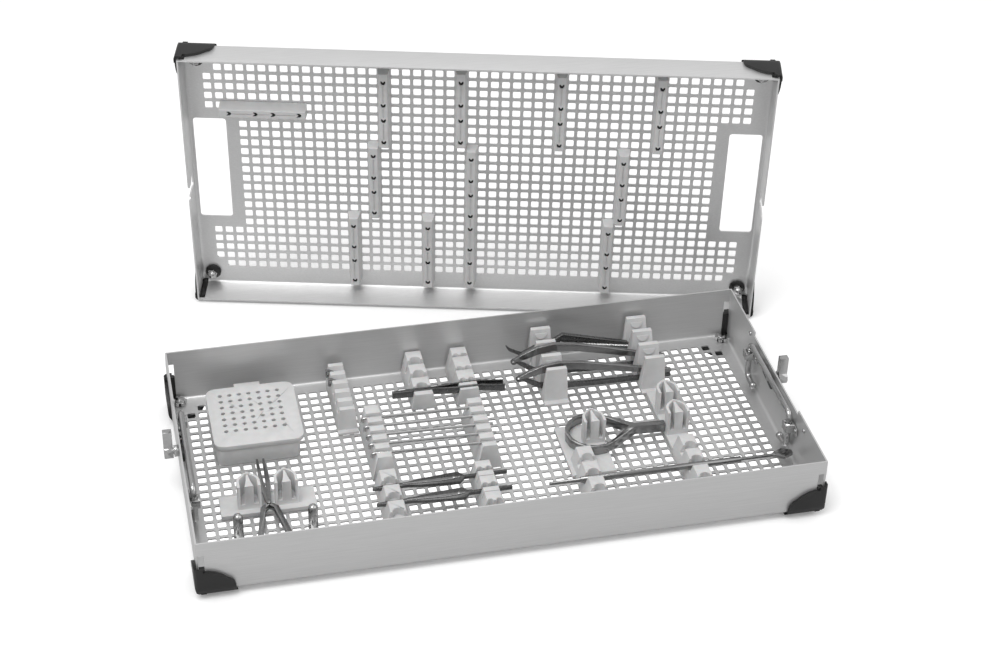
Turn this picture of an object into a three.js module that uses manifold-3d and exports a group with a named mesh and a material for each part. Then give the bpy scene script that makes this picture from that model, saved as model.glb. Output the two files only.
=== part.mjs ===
// Dental instrument cassette: a punched steel tray with its loose lid standing behind it,
// silicone rests, a small lidded box and the instruments that lie in the rests.
// Millimetres, +X along the tray, +Y to the back, +Z up, zero on top of the tray's floor
// until the last section moves the whole assembly onto the ground plane.

import * as THREE from 'three';
import { mergeVertices } from 'three/addons/utils/BufferGeometryUtils.js';
import Module from 'manifold-3d';

const wasm = await Module();
wasm.setup();

// Punched sheet
const columnCount = 50;
const rowCount = 23;
const pitch = 9.2;
const hole = 6.5;
const sheet = 1.2;
const barDepth = 0.5;

// Fits
const gap = 0.3;
const overrun = 3;

// Base tray
const trayMarginX = 10;
const trayMarginY = 11.5;
const trayWall = 47;
const bend = 4;
const slitWidth = 4.8;
const slitHeight = 35;
const recessHalf = 54;
const recessDepth = 4;

// Lid
const lidPlayX = 1.8;
const lidPlayY = 3;
const lidFlange = 27;
const lidYaw = -14.07;
const lidLean = 3.1;
const lidX = 38.8;
const lidY = 221.5;
const windowTop = 51;
const windowBottom = 50;
const windowDepth = 31;
const windowCorner = 4;
const hookWidth = 8;
const hookMouth = 15;
const hookDepth = 22;
const hookCentre = -9;
const hookStep = 4;

// Corner guards
const guardWall = 2.4;
const guardFoot = 4.8;
const guardLeaf = 28;
const guardHeight = 22;
const guardTip = 11;
const guardRound = 12;
const guardEdge = 3.2;
const guardPlate = 29;
const ribDepth = 2.6;
const baseRibTop = 24;
const lidRibTop = 24;
const studRadius = 2.5;
const studInset = 8;
const nutRadius = 5.2;
const nutHeight = 3;
const buttonInsetX = 11.2;
const buttonInsetY = 12.7;
const buttonRadius = 7;
const buttonHeight = 3.4;

// Handles
const wireRadius = 2.4;
const wireBend = 6;
const handleHalf = 49;
const handleInset = 4.2;
const gripHeight = 40;
const footHeight = 7;
const footLength = 15;
const footBall = 3.2;
const bracketBottom = 25;
const bracketHeight = 7;
const bracketWidth = 21;
const bracketPlate = 1.2;
const bracketHump = 9;
const bracketWall = 1.6;

// Latches
const latchY = 8.5;
const latchHeight = 33;
const shaftRadius = 2.6;
const collarRadius = 4.6;
const collarLength = 3.6;
const wingStart = 4.6;
const wingThickness = 7;
const hubRadius = 5.5;
const wingLong = 20;
const wingTip = 2.6;
const camLength = 22;
const camWide = 5;
const camNarrow = 2.6;
const camThickness = 1.1;

// Lidded box
const boxLength = 67;
const boxWidth = 74;
const boxHeight = 15.5;
const boxWall = 1.8;
const boxRound = 7;
const boxX = -178.5;
const boxY = 60;
const coverThickness = 4;
const coverOverlap = 1;
const coverOverhang = 2.5;
const coverRound = 9;
const coverNotch = 5;
const coverTabWidth = 21;
const coverTabDepth = 4;
const coverHoles = 7;
const coverPitch = 7.75;
const coverHole = 1.9;
const coverHoleShift = 4.5;

// Silicone rests, measured from the middle of the tray's floor; slots are counted from the back
const clampRack = { x: -103.8, back: 110.2, width: 17, top: 12.2, length: 63.5, height: 23, lip: 4 };
const clampSlots = { first: 7.6, count: 5, pitch: 12.1, mouth: 7, foot: 3.4, depth: 8 };
const tallRest = { x: 71, back: 113.4, width: 21, top: 16.5, length: 61.5, height: 34, lip: 5 };
const tallSpacing = 83.5;
const tallSlots = { first: 11.6, count: 3, pitch: 19.2, mouth: 15, foot: 5, depth: 29.5 };
const lipHeight = 2.6;

// Rests made of blocks in a row. Each row of a table is one block: its front and its back as
// shares of the length, its share of the height, and the number of round bites in its front.
const forkRest = { width: 21, top: 13, height: 22, floor: 10, biteRadius: 4.6 };
const forkLeft = { x: -37.7, front: 63.4, length: 52.1 };
const forkLeftShares = [
  [0, 0.1, 0.727, 0],
  [0.18, 0.405, 0.818, 1],
  [0.466, 0.706, 0.909, 1],
  [0.768, 1, 1, 1],
];
const forkRight = { x: 0.3, front: 63.4, length: 50.6 };
const forkRightShares = [
  [0, 0.055, 0.727, 0],
  [0.099, 0.166, 0.773, 0],
  [0.211, 0.466, 0.841, 2],
  [0.478, 0.783, 0.932, 2],
  [0.794, 1, 1, 2],
];
const notchRest = { width: 21, top: 12.3, height: 16, floor: 9, biteRadius: 4.5 };
const notchLeft = { x: -84.7, front: -75.7, length: 51.2 };
const notchLeftShares = [
  [0, 0.262, 1, 1],
  [0.369, 0.631, 1, 1],
  [0.738, 1, 1, 1],
];
const notchRight = { x: -9.8, front: -77, length: 48.4 };
const notchRightShares = [
  [0, 0.221, 1, 2],
  [0.233, 0.337, 1, 0],
  [0.409, 0.618, 1, 2],
  [0.63, 0.744, 1, 0],
  [0.808, 1, 1, 2],
];
const penRest = { width: 22, top: 12, height: 16, floor: 9, biteRadius: 4.5 };
const penLeft = { x: 72.9, front: -78.1, length: 51.2 };
const penLeftShares = [
  [0, 0.262, 1, 1],
  [0.369, 0.631, 1, 1],
  [0.738, 1, 1, 1],
];
const penRight = { x: 157.5, front: -81, length: 52.9 };
const penRightShares = [
  [0, 0.265, 1, 1],
  [0.416, 0.654, 1, 1],
  [0.747, 1, 1, 1],
];

// The two strips of ridges that hold the rods
const rodRest = { width: 20.6, top: 11.7, height: 24 };
const rodSlots = { count: 5, mouth: 4.8, foot: 4.4, depth: 4.4 };
const rodLeft = { x: -84.7, front: -19.5, back: 47.6, firstRod: 34.7, step: 11.3 };
const rodRight = { x: -1.4, front: -21.3, back: 41.6, firstRod: 32.4, step: 11.55 };

// Turrets: flat towers whose plan is a pointed arch, open to the front on both sides of a post
const turret = { width: 18, depth: 17.8, side: 7.1, height: 26.5, wall: 2.2, post: 9, tip: 1.5, floor: 8.5 };
const turretFoot = 4;
const scissorsPlate = { x: -178.8, front: -42.3, back: -19, half: 37 };
const scissorsTurrets = { spread: 14.35, front: -37 };
const penTurretLeft = { x: 87, fronts: [-10.8], slabFront: -47, slabBack: 14.7, slabLeft: 60 };
const penTurretRight = { x: 156.3, fronts: [-12.5, 14.7], slabFront: -29, slabBack: 46.5, slabLeft: 147 };

// Steel pins beside the scissors
const pinRadius = 3.8;
const pinHeight = 24;
const pinY = -64.4;
const pinSpread = 28.4;
const pinShift = 2;

// Lid strips
const strip = { length: 72.5, width: 11, top: 7, height: 12 };
const stripGroove = 2.4;
const stripGrooveDepth = 4;
const stripPocket = 6;
const stripPocketDepth = 3;
const pocketShares = [0.077, 0.375, 0.58, 0.884];

// Instruments
const rodRadius = 1.3;
const rodBend = 4;
const forcepsWidth = 12;
const forcepsThickness = 3;
const forcepsStart = 14;
const forcepsEnd = 9.5;
const tweezersY = 70.6;
const tweezersSheet = 1.4;
const tweezersHeight = 6;
const tweezersStart = 25.3;
const tweezersEnd = 29.7;
const tweezersHead = 13;
const tweezersWidth = 11;
const scissorsThickness = 4.4;
const scissorsJoint = -38;
const scissorsKnee = -84;
const scissorsTipGap = 6;
const bladeHalf = 1.7;
const bladeTip = 0.8;
const scissorsArm = 2;
const scissorsWaist = 5;
const ringRadius = 9;
const ringWire = 2.6;
const springArm = 3.2;
const springThickness = 3.4;
const springRise = 40;
const springStart = 31.5;
const springEnd = 18;
const knurledWidth = 6.8;
const loopRadius = 21;
const loopY = -4;
const loopBand = 2.6;
const loopHeight = 8;
const penRadius = 2.5;
const penTip = 1.4;
const penNeck = 1.8;
const penY = -62;
const penStart = 36;
const penGripEnd = 193;
const paddleLength = 15;
const paddleWidth = 11;
const paddleGap = 4;
const clampLength = 12;
const clampHeight = 7;
const clampThickness = 2.6;
const clampWire = 1.3;

// Sides of round sections
const fine = 24;
const medium = 12;
const coarse = 8;
const coverSides = 6;
const curveSteps = 4;

// Finishes
const steel = new THREE.MeshStandardMaterial({ color: 0xa9abad, roughness: 0.42, metalness: 0.9 });
const chrome = new THREE.MeshStandardMaterial({ color: 0xc4c6c8, roughness: 0.18, metalness: 1 });
const blackPlastic = new THREE.MeshStandardMaterial({ color: 0x232425, roughness: 0.5, metalness: 0 });
const silicone = new THREE.MeshStandardMaterial({ color: 0xcfd1d2, roughness: 0.6, metalness: 0 });
const instrumentSteel = new THREE.MeshStandardMaterial({ color: 0x77797b, roughness: 0.35, metalness: 1 });

// Sizes that follow
const halfX = (columnCount * pitch) / 2 + trayMarginX;
const halfY = (rowCount * pitch) / 2 + trayMarginY;
const outerX = halfX + sheet;
const outerY = halfY + sheet;
const lidHalfX = outerX + lidPlayX;
const lidHalfY = outerY + lidPlayY;
const lidOuterX = lidHalfX + sheet;
const lidOuterY = lidHalfY + sheet;

function holeX(column) {
  return (column - (columnCount - 1) / 2) * pitch;
}

function holeY(row) {
  return ((rowCount - 1) / 2 - row) * pitch;
}

// Solids from three.js geometries

function solid(geometry) {
  const bare = geometry.index ? geometry.toNonIndexed() : geometry.clone();
  bare.deleteAttribute('normal');
  bare.deleteAttribute('uv');
  const merged = mergeVertices(bare);
  return new wasm.Manifold(new wasm.Mesh({
    numProp: 3,
    vertProperties: new Float32Array(merged.attributes.position.array),
    triVerts: new Uint32Array(merged.index.array),
  }));
}

function geometryOf(body) {
  const mesh = body.getMesh();
  const geometry = new THREE.BufferGeometry();
  const points = new Float32Array(mesh.vertProperties);
  geometry.setAttribute('position', new THREE.BufferAttribute(points, mesh.numProp));
  geometry.setIndex(new THREE.BufferAttribute(new Uint32Array(mesh.triVerts), 1));
  geometry.computeVertexNormals();
  return geometry;
}

function block(x0, x1, y0, y1, z0, z1) {
  const geometry = new THREE.BoxGeometry(x1 - x0, y1 - y0, z1 - z0);
  geometry.translate((x0 + x1) / 2, (y0 + y1) / 2, (z0 + z1) / 2);
  return solid(geometry);
}

function outline(points) {
  return new THREE.Shape(points.map(([s, t]) => new THREE.Vector2(s, t)));
}

// An outline pushed along one axis: along z it lies in (x, y), along y in (x, z), along x in (y, z)
function prism(shape, axis, from, to) {
  const options = { depth: to - from, bevelEnabled: false, curveSegments: curveSteps };
  const geometry = new THREE.ExtrudeGeometry(shape, options);
  const turn = new THREE.Matrix4();
  if (axis === 'z') turn.makeTranslation(0, 0, from);
  if (axis === 'y') {
    turn.makeBasis(new THREE.Vector3(1, 0, 0), new THREE.Vector3(0, 0, 1), new THREE.Vector3(0, -1, 0));
    turn.setPosition(0, to, 0);
  }
  if (axis === 'x') {
    turn.makeBasis(new THREE.Vector3(0, 1, 0), new THREE.Vector3(0, 0, 1), new THREE.Vector3(1, 0, 0));
    turn.setPosition(from, 0, 0);
  }
  return solid(geometry.applyMatrix4(turn));
}

// A round bar between two points, which may taper
function bar(from, to, radiusFrom, radiusTo, sides) {
  const start = new THREE.Vector3(...from);
  const way = new THREE.Vector3(...to).sub(start);
  const geometry = new THREE.CylinderGeometry(radiusTo, radiusFrom, way.length(), sides);
  const turn = new THREE.Quaternion().setFromUnitVectors(new THREE.Vector3(0, 1, 0), way.clone().normalize());
  geometry.applyQuaternion(turn);
  geometry.translate(start.x + way.x / 2, start.y + way.y / 2, start.z + way.z / 2);
  return solid(geometry);
}

function ball(centre, radius, sides) {
  const geometry = new THREE.SphereGeometry(radius, sides, sides / 2);
  geometry.translate(...centre);
  return solid(geometry);
}

function joined(bodies) {
  return bodies.reduce((whole, body) => whole.add(body));
}

// A wire's centre line: straight runs between corners, each corner rounded by short steps
class WirePath extends THREE.Curve {
  constructor(corners, radius, steps) {
    super();
    this.points = [corners[0].clone()];
    for (let i = 1; i < corners.length - 1; i += 1) {
      const before = corners[i - 1].clone().sub(corners[i]).setLength(radius).add(corners[i]);
      const after = corners[i + 1].clone().sub(corners[i]).setLength(radius).add(corners[i]);
      const arc = new THREE.QuadraticBezierCurve3(before, corners[i], after);
      this.points.push(...arc.getPoints(steps));
    }
    this.points.push(corners[corners.length - 1].clone());
  }

  getPoint(t, target = new THREE.Vector3()) {
    const place = t * (this.points.length - 1);
    const index = Math.min(Math.floor(place), this.points.length - 2);
    return target.lerpVectors(this.points[index], this.points[index + 1], place - index);
  }

  getUtoTmapping(u) {
    return u;
  }
}

function circle(s, t, radius, sides) {
  return outline(numbers(sides).map((i) => {
    const angle = (i / sides) * Math.PI * 2;
    return [s + radius * Math.cos(angle), t + radius * Math.sin(angle)];
  }));
}

function wire(corners, radius, bendRadius) {
  const path = new WirePath(corners, bendRadius, 3);
  return solid(new THREE.ExtrudeGeometry(circle(0, 0, radius, coarse), {
    steps: path.points.length - 1,
    extrudePath: path,
  }));
}

// Punched field: slots along X in the upper skin, slots along Y in the lower skin, and a thin
// gap between the two, so that light passes where the slots cross, as through square holes.
// Each run names the rows or columns that a slot crosses, from first to last.
function punchedField(rowRuns, columnRuns) {
  const reach = hole / 2;
  const slots = [];
  rowRuns.forEach(({ row, first, last }) => {
    const y = holeY(row);
    slots.push(block(holeX(first) - reach, holeX(last) + reach, y - reach, y + reach, -barDepth, overrun));
  });
  columnRuns.forEach(({ column, first, last }) => {
    const x = holeX(column);
    const front = holeY(last) - reach;
    slots.push(block(x - reach, x + reach, front, holeY(first) + reach, -sheet - overrun, barDepth - sheet));
  });
  return slots;
}

function numbers(count) {
  return Array.from({ length: count }, (_, i) => i);
}

// The open gap between the two skins of bars, over columns first to last and rows first to last
function skinGap(firstColumn, lastColumn, firstRow, lastRow) {
  const reach = hole / 2;
  return block(
    holeX(firstColumn) - reach,
    holeX(lastColumn) + reach,
    holeY(lastRow) - reach,
    holeY(firstRow) + reach,
    barDepth - sheet,
    -barDepth,
  );
}

// A folded pan: floor from -sheet to 0, walls up to height, bottom edges bent round
function pan(innerX, innerY, height) {
  const shell = (reachX, reachY, low, radius) => {
    const profile = (reach) => {
      const shape = new THREE.Shape();
      shape.moveTo(-reach, height + (low < 0 ? 0 : overrun));
      shape.lineTo(-reach, low + radius);
      shape.absarc(-reach + radius, low + radius, radius, Math.PI, Math.PI * 1.5, false);
      shape.absarc(reach - radius, low + radius, radius, Math.PI * 1.5, Math.PI * 2, false);
      shape.lineTo(reach, height + (low < 0 ? 0 : overrun));
      return shape;
    };
    const across = prism(profile(reachX), 'y', -reachY, reachY);
    return across.intersect(prism(profile(reachY), 'x', -reachX, reachX));
  };
  const outside = shell(innerX + sheet, innerY + sheet, -sheet, bend);
  return outside.subtract(shell(innerX, innerY, 0, bend - sheet));
}

// Vertical slits beside the four corners of a pan, in its long walls
function cornerSlits(reachX, reachY, top) {
  const slits = [];
  [-1, 1].forEach((side) => {
    const ends = [side * (reachX - slitWidth), side * reachX];
    const left = Math.min(...ends);
    const right = Math.max(...ends);
    const thickness = sheet + overrun;
    slits.push(block(left, right, -reachY - thickness, -reachY + bend, -sheet / 2, top));
    slits.push(block(left, right, reachY - bend, reachY + thickness, -sheet / 2, top));
  });
  return slits;
}

// Holes for the studs of the corner guards
function studHoles(reachX, reachY, insetX, insetY) {
  const holes = [];
  [-1, 1].forEach((sideX) => [-1, 1].forEach((sideY) => {
    const x = sideX * (reachX - insetX);
    const y = sideY * (reachY - insetY);
    const radius = studRadius + gap;
    holes.push(bar([x, y, -sheet - overrun], [x, y, overrun], radius, radius, coarse));
  }));
  return holes;
}

function baseTray() {
  const lastColumn = columnCount - 1;
  const lastRow = rowCount - 1;
  const rowRuns = numbers(rowCount).map((row) => {
    const cut = row === 0 || row === lastRow ? 1 : 0;
    return { row, first: cut, last: lastColumn - cut };
  });
  const columnRuns = numbers(columnCount).map((column) => {
    const cut = column === 0 || column === lastColumn ? 1 : 0;
    return { column, first: cut, last: lastRow - cut };
  });
  const cuts = [
    ...punchedField(rowRuns, columnRuns),
    skinGap(0, lastColumn, 1, lastRow - 1),
    skinGap(1, lastColumn - 1, 0, lastRow),
    ...cornerSlits(halfX, halfY, slitHeight),
    ...studHoles(outerX, outerY, studInset, studInset),
  ];
  [-1, 1].forEach((side) => {
    const from = Math.min(side * (halfX - overrun), side * (outerX + overrun));
    const to = Math.max(side * (halfX - overrun), side * (outerX + overrun));
    const radius = shaftRadius + gap;
    cuts.push(block(from, to, -recessHalf, recessHalf, trayWall - recessDepth, trayWall + overrun));
    cuts.push(bar([from, latchY, latchHeight], [to, latchY, latchHeight], radius, radius, medium));
  });
  return pan(halfX, halfY, trayWall).subtract(joined(cuts));
}

// A window in each end of the lid: it takes the sheet beyond the punched field and stops
// short of the side flange by the bend
function lidWindows() {
  const windows = [];
  [-1, 1].forEach((side) => {
    const inner = side * (lidHalfX - windowDepth);
    const outer = side * (lidHalfX - bend);
    const shape = new THREE.Shape();
    const low = -windowBottom;
    const high = windowTop;
    const step = side * windowCorner;
    shape.moveTo(inner + step, low);
    shape.lineTo(outer, low);
    shape.lineTo(outer, high);
    shape.lineTo(inner + step, high);
    shape.quadraticCurveTo(inner, high, inner, high - windowCorner);
    shape.lineTo(inner, low + windowCorner);
    shape.quadraticCurveTo(inner, low, inner + step, low);
    windows.push(prism(shape, 'z', -sheet - overrun, bend));
  });
  return windows;
}

// The hook notch in each side flange: a wide mouth at the lip, a neck, and a step to one side
function hookNotches() {
  const mouth = hookMouth / 2;
  const neck = hookWidth / 2;
  const end = lidFlange - hookDepth;
  const shape = new THREE.Shape();
  shape.moveTo(hookCentre - mouth, lidFlange + overrun);
  shape.lineTo(hookCentre - mouth, lidFlange);
  shape.quadraticCurveTo(hookCentre - neck, lidFlange, hookCentre - neck, lidFlange - mouth);
  shape.lineTo(hookCentre - neck + hookStep, end + hookWidth);
  shape.lineTo(hookCentre - neck + hookStep, end);
  shape.lineTo(hookCentre + neck + hookStep, end);
  shape.lineTo(hookCentre + neck, end + hookWidth);
  shape.lineTo(hookCentre + neck, lidFlange - mouth);
  shape.quadraticCurveTo(hookCentre + neck, lidFlange, hookCentre + mouth, lidFlange);
  shape.lineTo(hookCentre + mouth, lidFlange + overrun);
  const left = prism(shape, 'x', -lidOuterX - overrun, -lidHalfX + overrun);
  const right = prism(shape, 'x', lidHalfX - overrun, lidOuterX + overrun);
  return [left, right];
}

// The lid lies in its own frame as the tray does: sheet's inner face at zero, flange upwards
function lidTray() {
  const lastColumn = columnCount - 1;
  const lastRow = rowCount - 1;
  const windowRowCount = 5;
  const windowColumnCount = 3;
  const beside = (row) => row >= windowRowCount && row <= lastRow - windowRowCount;
  const rowRuns = numbers(rowCount).map((row) => {
    const edge = row === 0 || row === lastRow ? 1 : 0;
    const cut = beside(row) ? windowColumnCount : edge;
    return { row, first: cut, last: lastColumn - cut };
  });
  const columnRuns = [];
  numbers(columnCount).forEach((column) => {
    const edge = column === 0 || column === lastColumn ? 1 : 0;
    if (column < windowColumnCount || column > lastColumn - windowColumnCount) {
      columnRuns.push({ column, first: edge, last: windowRowCount - 1 });
      columnRuns.push({ column, first: lastRow - windowRowCount + 1, last: lastRow - edge });
    } else {
      columnRuns.push({ column, first: 0, last: lastRow });
    }
  });
  const cuts = [
    ...punchedField(rowRuns, columnRuns),
    skinGap(windowColumnCount, lastColumn - windowColumnCount, 0, lastRow),
    skinGap(0, lastColumn, 1, windowRowCount - 1),
    skinGap(0, lastColumn, lastRow - windowRowCount + 1, lastRow - 1),
    ...cornerSlits(lidHalfX, lidHalfY, lidFlange - bend / 2),
    ...studHoles(lidOuterX, lidOuterY, buttonInsetX, buttonInsetY),
    ...lidWindows(),
    ...hookNotches(),
  ];
  return pan(lidHalfX, lidHalfY, lidFlange).subtract(joined(cuts));
}

// A corner guard in its own frame: the pan's corner at zero, the pan towards +X and +Y,
// and the floor's underside at zero height
function guardBlock(offset, low, radius, edge) {
  const far = guardPlate + overrun;
  const high = baseRibTop + overrun;
  const side = () => {
    const shape = new THREE.Shape();
    shape.moveTo(-offset, high);
    shape.lineTo(-offset, low + radius);
    shape.absarc(radius - offset, low + radius, radius, Math.PI, Math.PI * 1.5, false);
    shape.lineTo(far, low);
    shape.lineTo(far, high);
    return shape;
  };
  const plan = new THREE.Shape();
  plan.moveTo(far, far);
  plan.lineTo(-offset, far);
  plan.lineTo(-offset, edge - offset);
  plan.absarc(edge - offset, edge - offset, edge, Math.PI, Math.PI * 1.5, false);
  plan.lineTo(far, -offset);
  const across = prism(side(), 'y', -offset, far);
  const along = prism(side(), 'x', -offset, far);
  return across.intersect(along).intersect(prism(plan, 'z', low, high));
}

function leafOutline() {
  const start = -guardWall - gap;
  const shape = new THREE.Shape();
  shape.moveTo(start, -guardFoot);
  shape.lineTo(guardLeaf - guardFoot, -guardFoot);
  shape.quadraticCurveTo(guardLeaf, -guardFoot, guardLeaf, guardFoot / 2);
  shape.quadraticCurveTo(guardLeaf, guardTip, guardLeaf - guardTip / 2, guardTip + guardFoot / 2);
  shape.quadraticCurveTo(guardLeaf / 2, guardHeight, guardEdge, guardHeight);
  shape.lineTo(start, guardHeight + guardEdge);
  return shape;
}

function cornerGuard(stud, ribTop) {
  const outside = guardBlock(guardWall + gap, -guardFoot, guardRound, guardEdge);
  const inside = guardBlock(gap, -gap, bend + gap, gap);
  const start = -guardWall - gap;
  const front = prism(leafOutline(), 'y', start, bend);
  const side = prism(leafOutline(), 'x', start, bend);
  const plate = bar([0, 0, -guardFoot], [0, 0, -gap], guardPlate, guardPlate, fine);
  const leaves = joined([front, side, plate]);
  const shell = outside.subtract(inside).intersect(leaves);
  const ribInner = slitWidth + sheet - gap;
  const ribFoot = bend;
  const rib = block(sheet + gap, ribInner, start / 2, ribDepth, ribFoot, ribTop);
  const neck = block(sheet + gap, ribInner, start / 2, -gap / 2, 0, ribTop);
  return joined([shell, rib, neck, ...stud]);
}

function studWith(head, insetX, insetY) {
  const post = [insetX, insetY];
  const shaft = bar([...post, -guardFoot / 2], [...post, sheet + gap * 2], studRadius, studRadius, coarse);
  return [shaft, head(post)];
}

function nutHead(post) {
  const foot = sheet + gap;
  return bar([...post, foot], [...post, foot + nutHeight], nutRadius, nutRadius, coarse);
}

function buttonHead(post) {
  const foot = sheet + gap;
  const rim = foot + buttonHeight / 2;
  const wide = bar([...post, foot], [...post, rim], buttonRadius, buttonRadius, medium);
  const crown = bar([...post, rim], [...post, foot + buttonHeight], buttonRadius, buttonRadius / 2, medium);
  return wide.add(crown);
}

// Lengthwise section for every rest: wider at the foot than at the top
function taperedBlock(x, rest, from, to) {
  const shape = outline([
    [x - rest.width / 2, gap],
    [x + rest.width / 2, gap],
    [x + rest.top / 2, rest.height],
    [x - rest.top / 2, rest.height],
  ]);
  return prism(shape, 'y', from, to);
}

function slotAt(x, rest, slot, y) {
  const shape = outline([
    [y - slot.foot / 2, rest.height - slot.depth],
    [y + slot.foot / 2, rest.height - slot.depth],
    [y + slot.mouth / 2, rest.height],
    [y + slot.mouth / 2, rest.height + overrun],
    [y - slot.mouth / 2, rest.height + overrun],
    [y - slot.mouth / 2, rest.height],
  ]);
  return prism(shape, 'x', x - rest.width, x + rest.width);
}

// A rest with its slots at the given places along Y
function slottedRest(x, rest, from, to, slot, places) {
  const slots = places.map((y) => slotAt(x, rest, slot, y));
  return taperedBlock(x, rest, from, to).subtract(joined(slots));
}

function slotPlaces(rest, slots) {
  return numbers(slots.count).map((i) => rest.back - slots.first - i * slots.pitch);
}

const clampPlaces = slotPlaces(clampRack, clampSlots);
const tallPlaces = slotPlaces(tallRest, tallSlots);
const tallRightX = tallRest.x + tallSpacing;

// A rest that ends at the front in a thin lip on the floor
function straightRest(x, rest, slots) {
  const front = rest.back - rest.length;
  const body = slottedRest(x, rest, front, rest.back, slots, slotPlaces(rest, slots));
  const lip = block(x - rest.width / 2, x + rest.width / 2, front - rest.lip, front + gap, gap, lipHeight);
  return body.add(lip);
}

// Round bites in the front of a block: one in its middle, or two small ones side by side
function bitesAt(x, rest, { front, bites }) {
  const radius = rest.biteRadius / bites;
  const top = rest.height + overrun;
  return numbers(bites).map((i) => {
    const middle = x + (i - (bites - 1) / 2) * (rest.biteRadius + radius);
    const behind = block(middle - radius, middle + radius, front - gap, front + radius, rest.floor, top);
    return bar([middle, front, rest.floor], [middle, front, top], radius, radius, medium).intersect(behind);
  });
}

function blocksOf(rest, place, shares) {
  return shares.map(([front, back, height, bites]) => ({
    front: place.front + front * place.length,
    back: place.front + back * place.length,
    height: height * rest.height,
    bites,
  }));
}

const notchLeftBlocks = blocksOf(notchRest, notchLeft, notchLeftShares);
const notchRightBlocks = blocksOf(notchRest, notchRight, notchRightShares);

// A rest made of tapered blocks in a row on one floor
function blockRest(x, rest, blocks) {
  const last = blocks[blocks.length - 1];
  const top = rest.height + overrun;
  const between = (from, to, low) => block(x - rest.width, x + rest.width, from, to, low, top);
  const cuts = blocks.flatMap((piece, i) => {
    const lowered = piece.height < rest.height;
    const lower = lowered ? [between(piece.front - gap, piece.back + gap, piece.height)] : [];
    const slot = piece === last ? [] : [between(piece.back, blocks[i + 1].front, rest.floor)];
    return [...lower, ...slot, ...bitesAt(x, rest, piece)];
  });
  return taperedBlock(x, rest, blocks[0].front, last.back).subtract(joined(cuts));
}

function rodPlaces(side) {
  return numbers(rodSlots.count).map((i) => side.firstRod - i * side.step);
}

function rodStrip(side) {
  return slottedRest(side.x, rodRest, side.front, side.back, rodSlots, rodPlaces(side));
}

// The left strip's ridges run on into its notched blocks over a low floor
function rodStripLeft() {
  const blocks = notchLeftBlocks;
  const half = notchRest.top / 2;
  const floor = block(
    rodLeft.x - half,
    rodLeft.x + half,
    blocks[blocks.length - 1].back - gap,
    rodLeft.front + gap,
    gap,
    notchRest.floor,
  );
  return joined([rodStrip(rodLeft), blockRest(rodLeft.x, notchRest, blocks), floor]);
}

// A turret's plan: straight sides, then a pointed arch to the back
function archOutline(x, front, half, side, depth) {
  const shape = new THREE.Shape();
  shape.moveTo(x - half, front);
  shape.lineTo(x + half, front);
  shape.lineTo(x + half, front + side);
  shape.quadraticCurveTo(x + half, (front + side + front + depth) / 2, x, front + depth);
  shape.quadraticCurveTo(x - half, (front + side + front + depth) / 2, x - half, front + side);
  return shape;
}

// A turret: the arch's wall with a post in the middle that narrows to the back, and an open
// channel on each side of the post
function turretAt(x, front) {
  const arch = archOutline(x, front, turret.width / 2, turret.side, turret.depth);
  const tower = prism(arch, 'z', gap, turret.height);
  const high = turret.height + overrun;
  const inner = turret.width / 2 - turret.wall;
  const reach = turret.depth - turret.wall;
  const hollow = prism(archOutline(x, front, inner, turret.side, reach), 'z', turret.floor, high);
  const mouth = block(x - inner, x + inner, front - overrun, front + gap, turret.floor, high);
  const post = new THREE.Shape();
  post.moveTo(x - turret.post / 2, front - overrun);
  post.lineTo(x + turret.post / 2, front - overrun);
  post.quadraticCurveTo(x + turret.tip / 2, front + turret.side, x + turret.tip / 2, front + turret.depth);
  post.lineTo(x - turret.tip / 2, front + turret.depth);
  post.quadraticCurveTo(x - turret.tip / 2, front + turret.side, x - turret.post / 2, front - overrun);
  return tower.subtract(hollow.add(mouth).subtract(prism(post, 'z', gap, high + overrun)));
}

// Plate with two turrets, in front of the box
function turretPlate() {
  const { x, front, back, half } = scissorsPlate;
  const plate = block(x - half, x + half, front, back, gap, turretFoot);
  const towers = [-1, 1].map((side) => turretAt(x + side * scissorsTurrets.spread, scissorsTurrets.front));
  return joined([plate, ...towers]);
}

function domePin(side) {
  const x = scissorsPlate.x + pinShift + side * pinSpread;
  const top = pinHeight - pinRadius;
  const post = bar([x, pinY, gap], [x, pinY, top], pinRadius, pinRadius, medium);
  return post.add(ball([x, pinY, top], pinRadius, medium));
}

// A strip of notched blocks that carries one or two turrets on a slab behind them
function penStrip(row, shares, turrets) {
  const right = turrets.x + turret.width / 2;
  const slab = block(turrets.slabLeft, right, turrets.slabFront, turrets.slabBack, gap, turretFoot);
  const towers = turrets.fronts.map((front) => turretAt(turrets.x, front));
  const blocks = blockRest(row.x, penRest, blocksOf(penRest, row, shares));
  return joined([slab, blocks, ...towers]);
}

// Lidded box
function roundedOutline(x0, x1, y0, y1, radius) {
  const shape = new THREE.Shape();
  shape.moveTo(x0 + radius, y0);
  shape.lineTo(x1 - radius, y0);
  shape.quadraticCurveTo(x1, y0, x1, y0 + radius);
  shape.lineTo(x1, y1 - radius);
  shape.quadraticCurveTo(x1, y1, x1 - radius, y1);
  shape.lineTo(x0 + radius, y1);
  shape.quadraticCurveTo(x0, y1, x0, y1 - radius);
  shape.lineTo(x0, y0 + radius);
  shape.quadraticCurveTo(x0, y0, x0 + radius, y0);
  return shape;
}

function boxBody() {
  const reachX = boxLength / 2;
  const reachY = boxWidth / 2;
  const around = (inset, radius, low, high) => {
    const x = reachX - inset;
    const y = reachY - inset;
    return prism(roundedOutline(boxX - x, boxX + x, boxY - y, boxY + y, radius), 'z', low, high);
  };
  const hollow = around(boxWall, boxRound - boxWall, gap + boxWall, boxHeight + overrun);
  return around(0, boxRound, gap, boxHeight).subtract(hollow);
}

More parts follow.
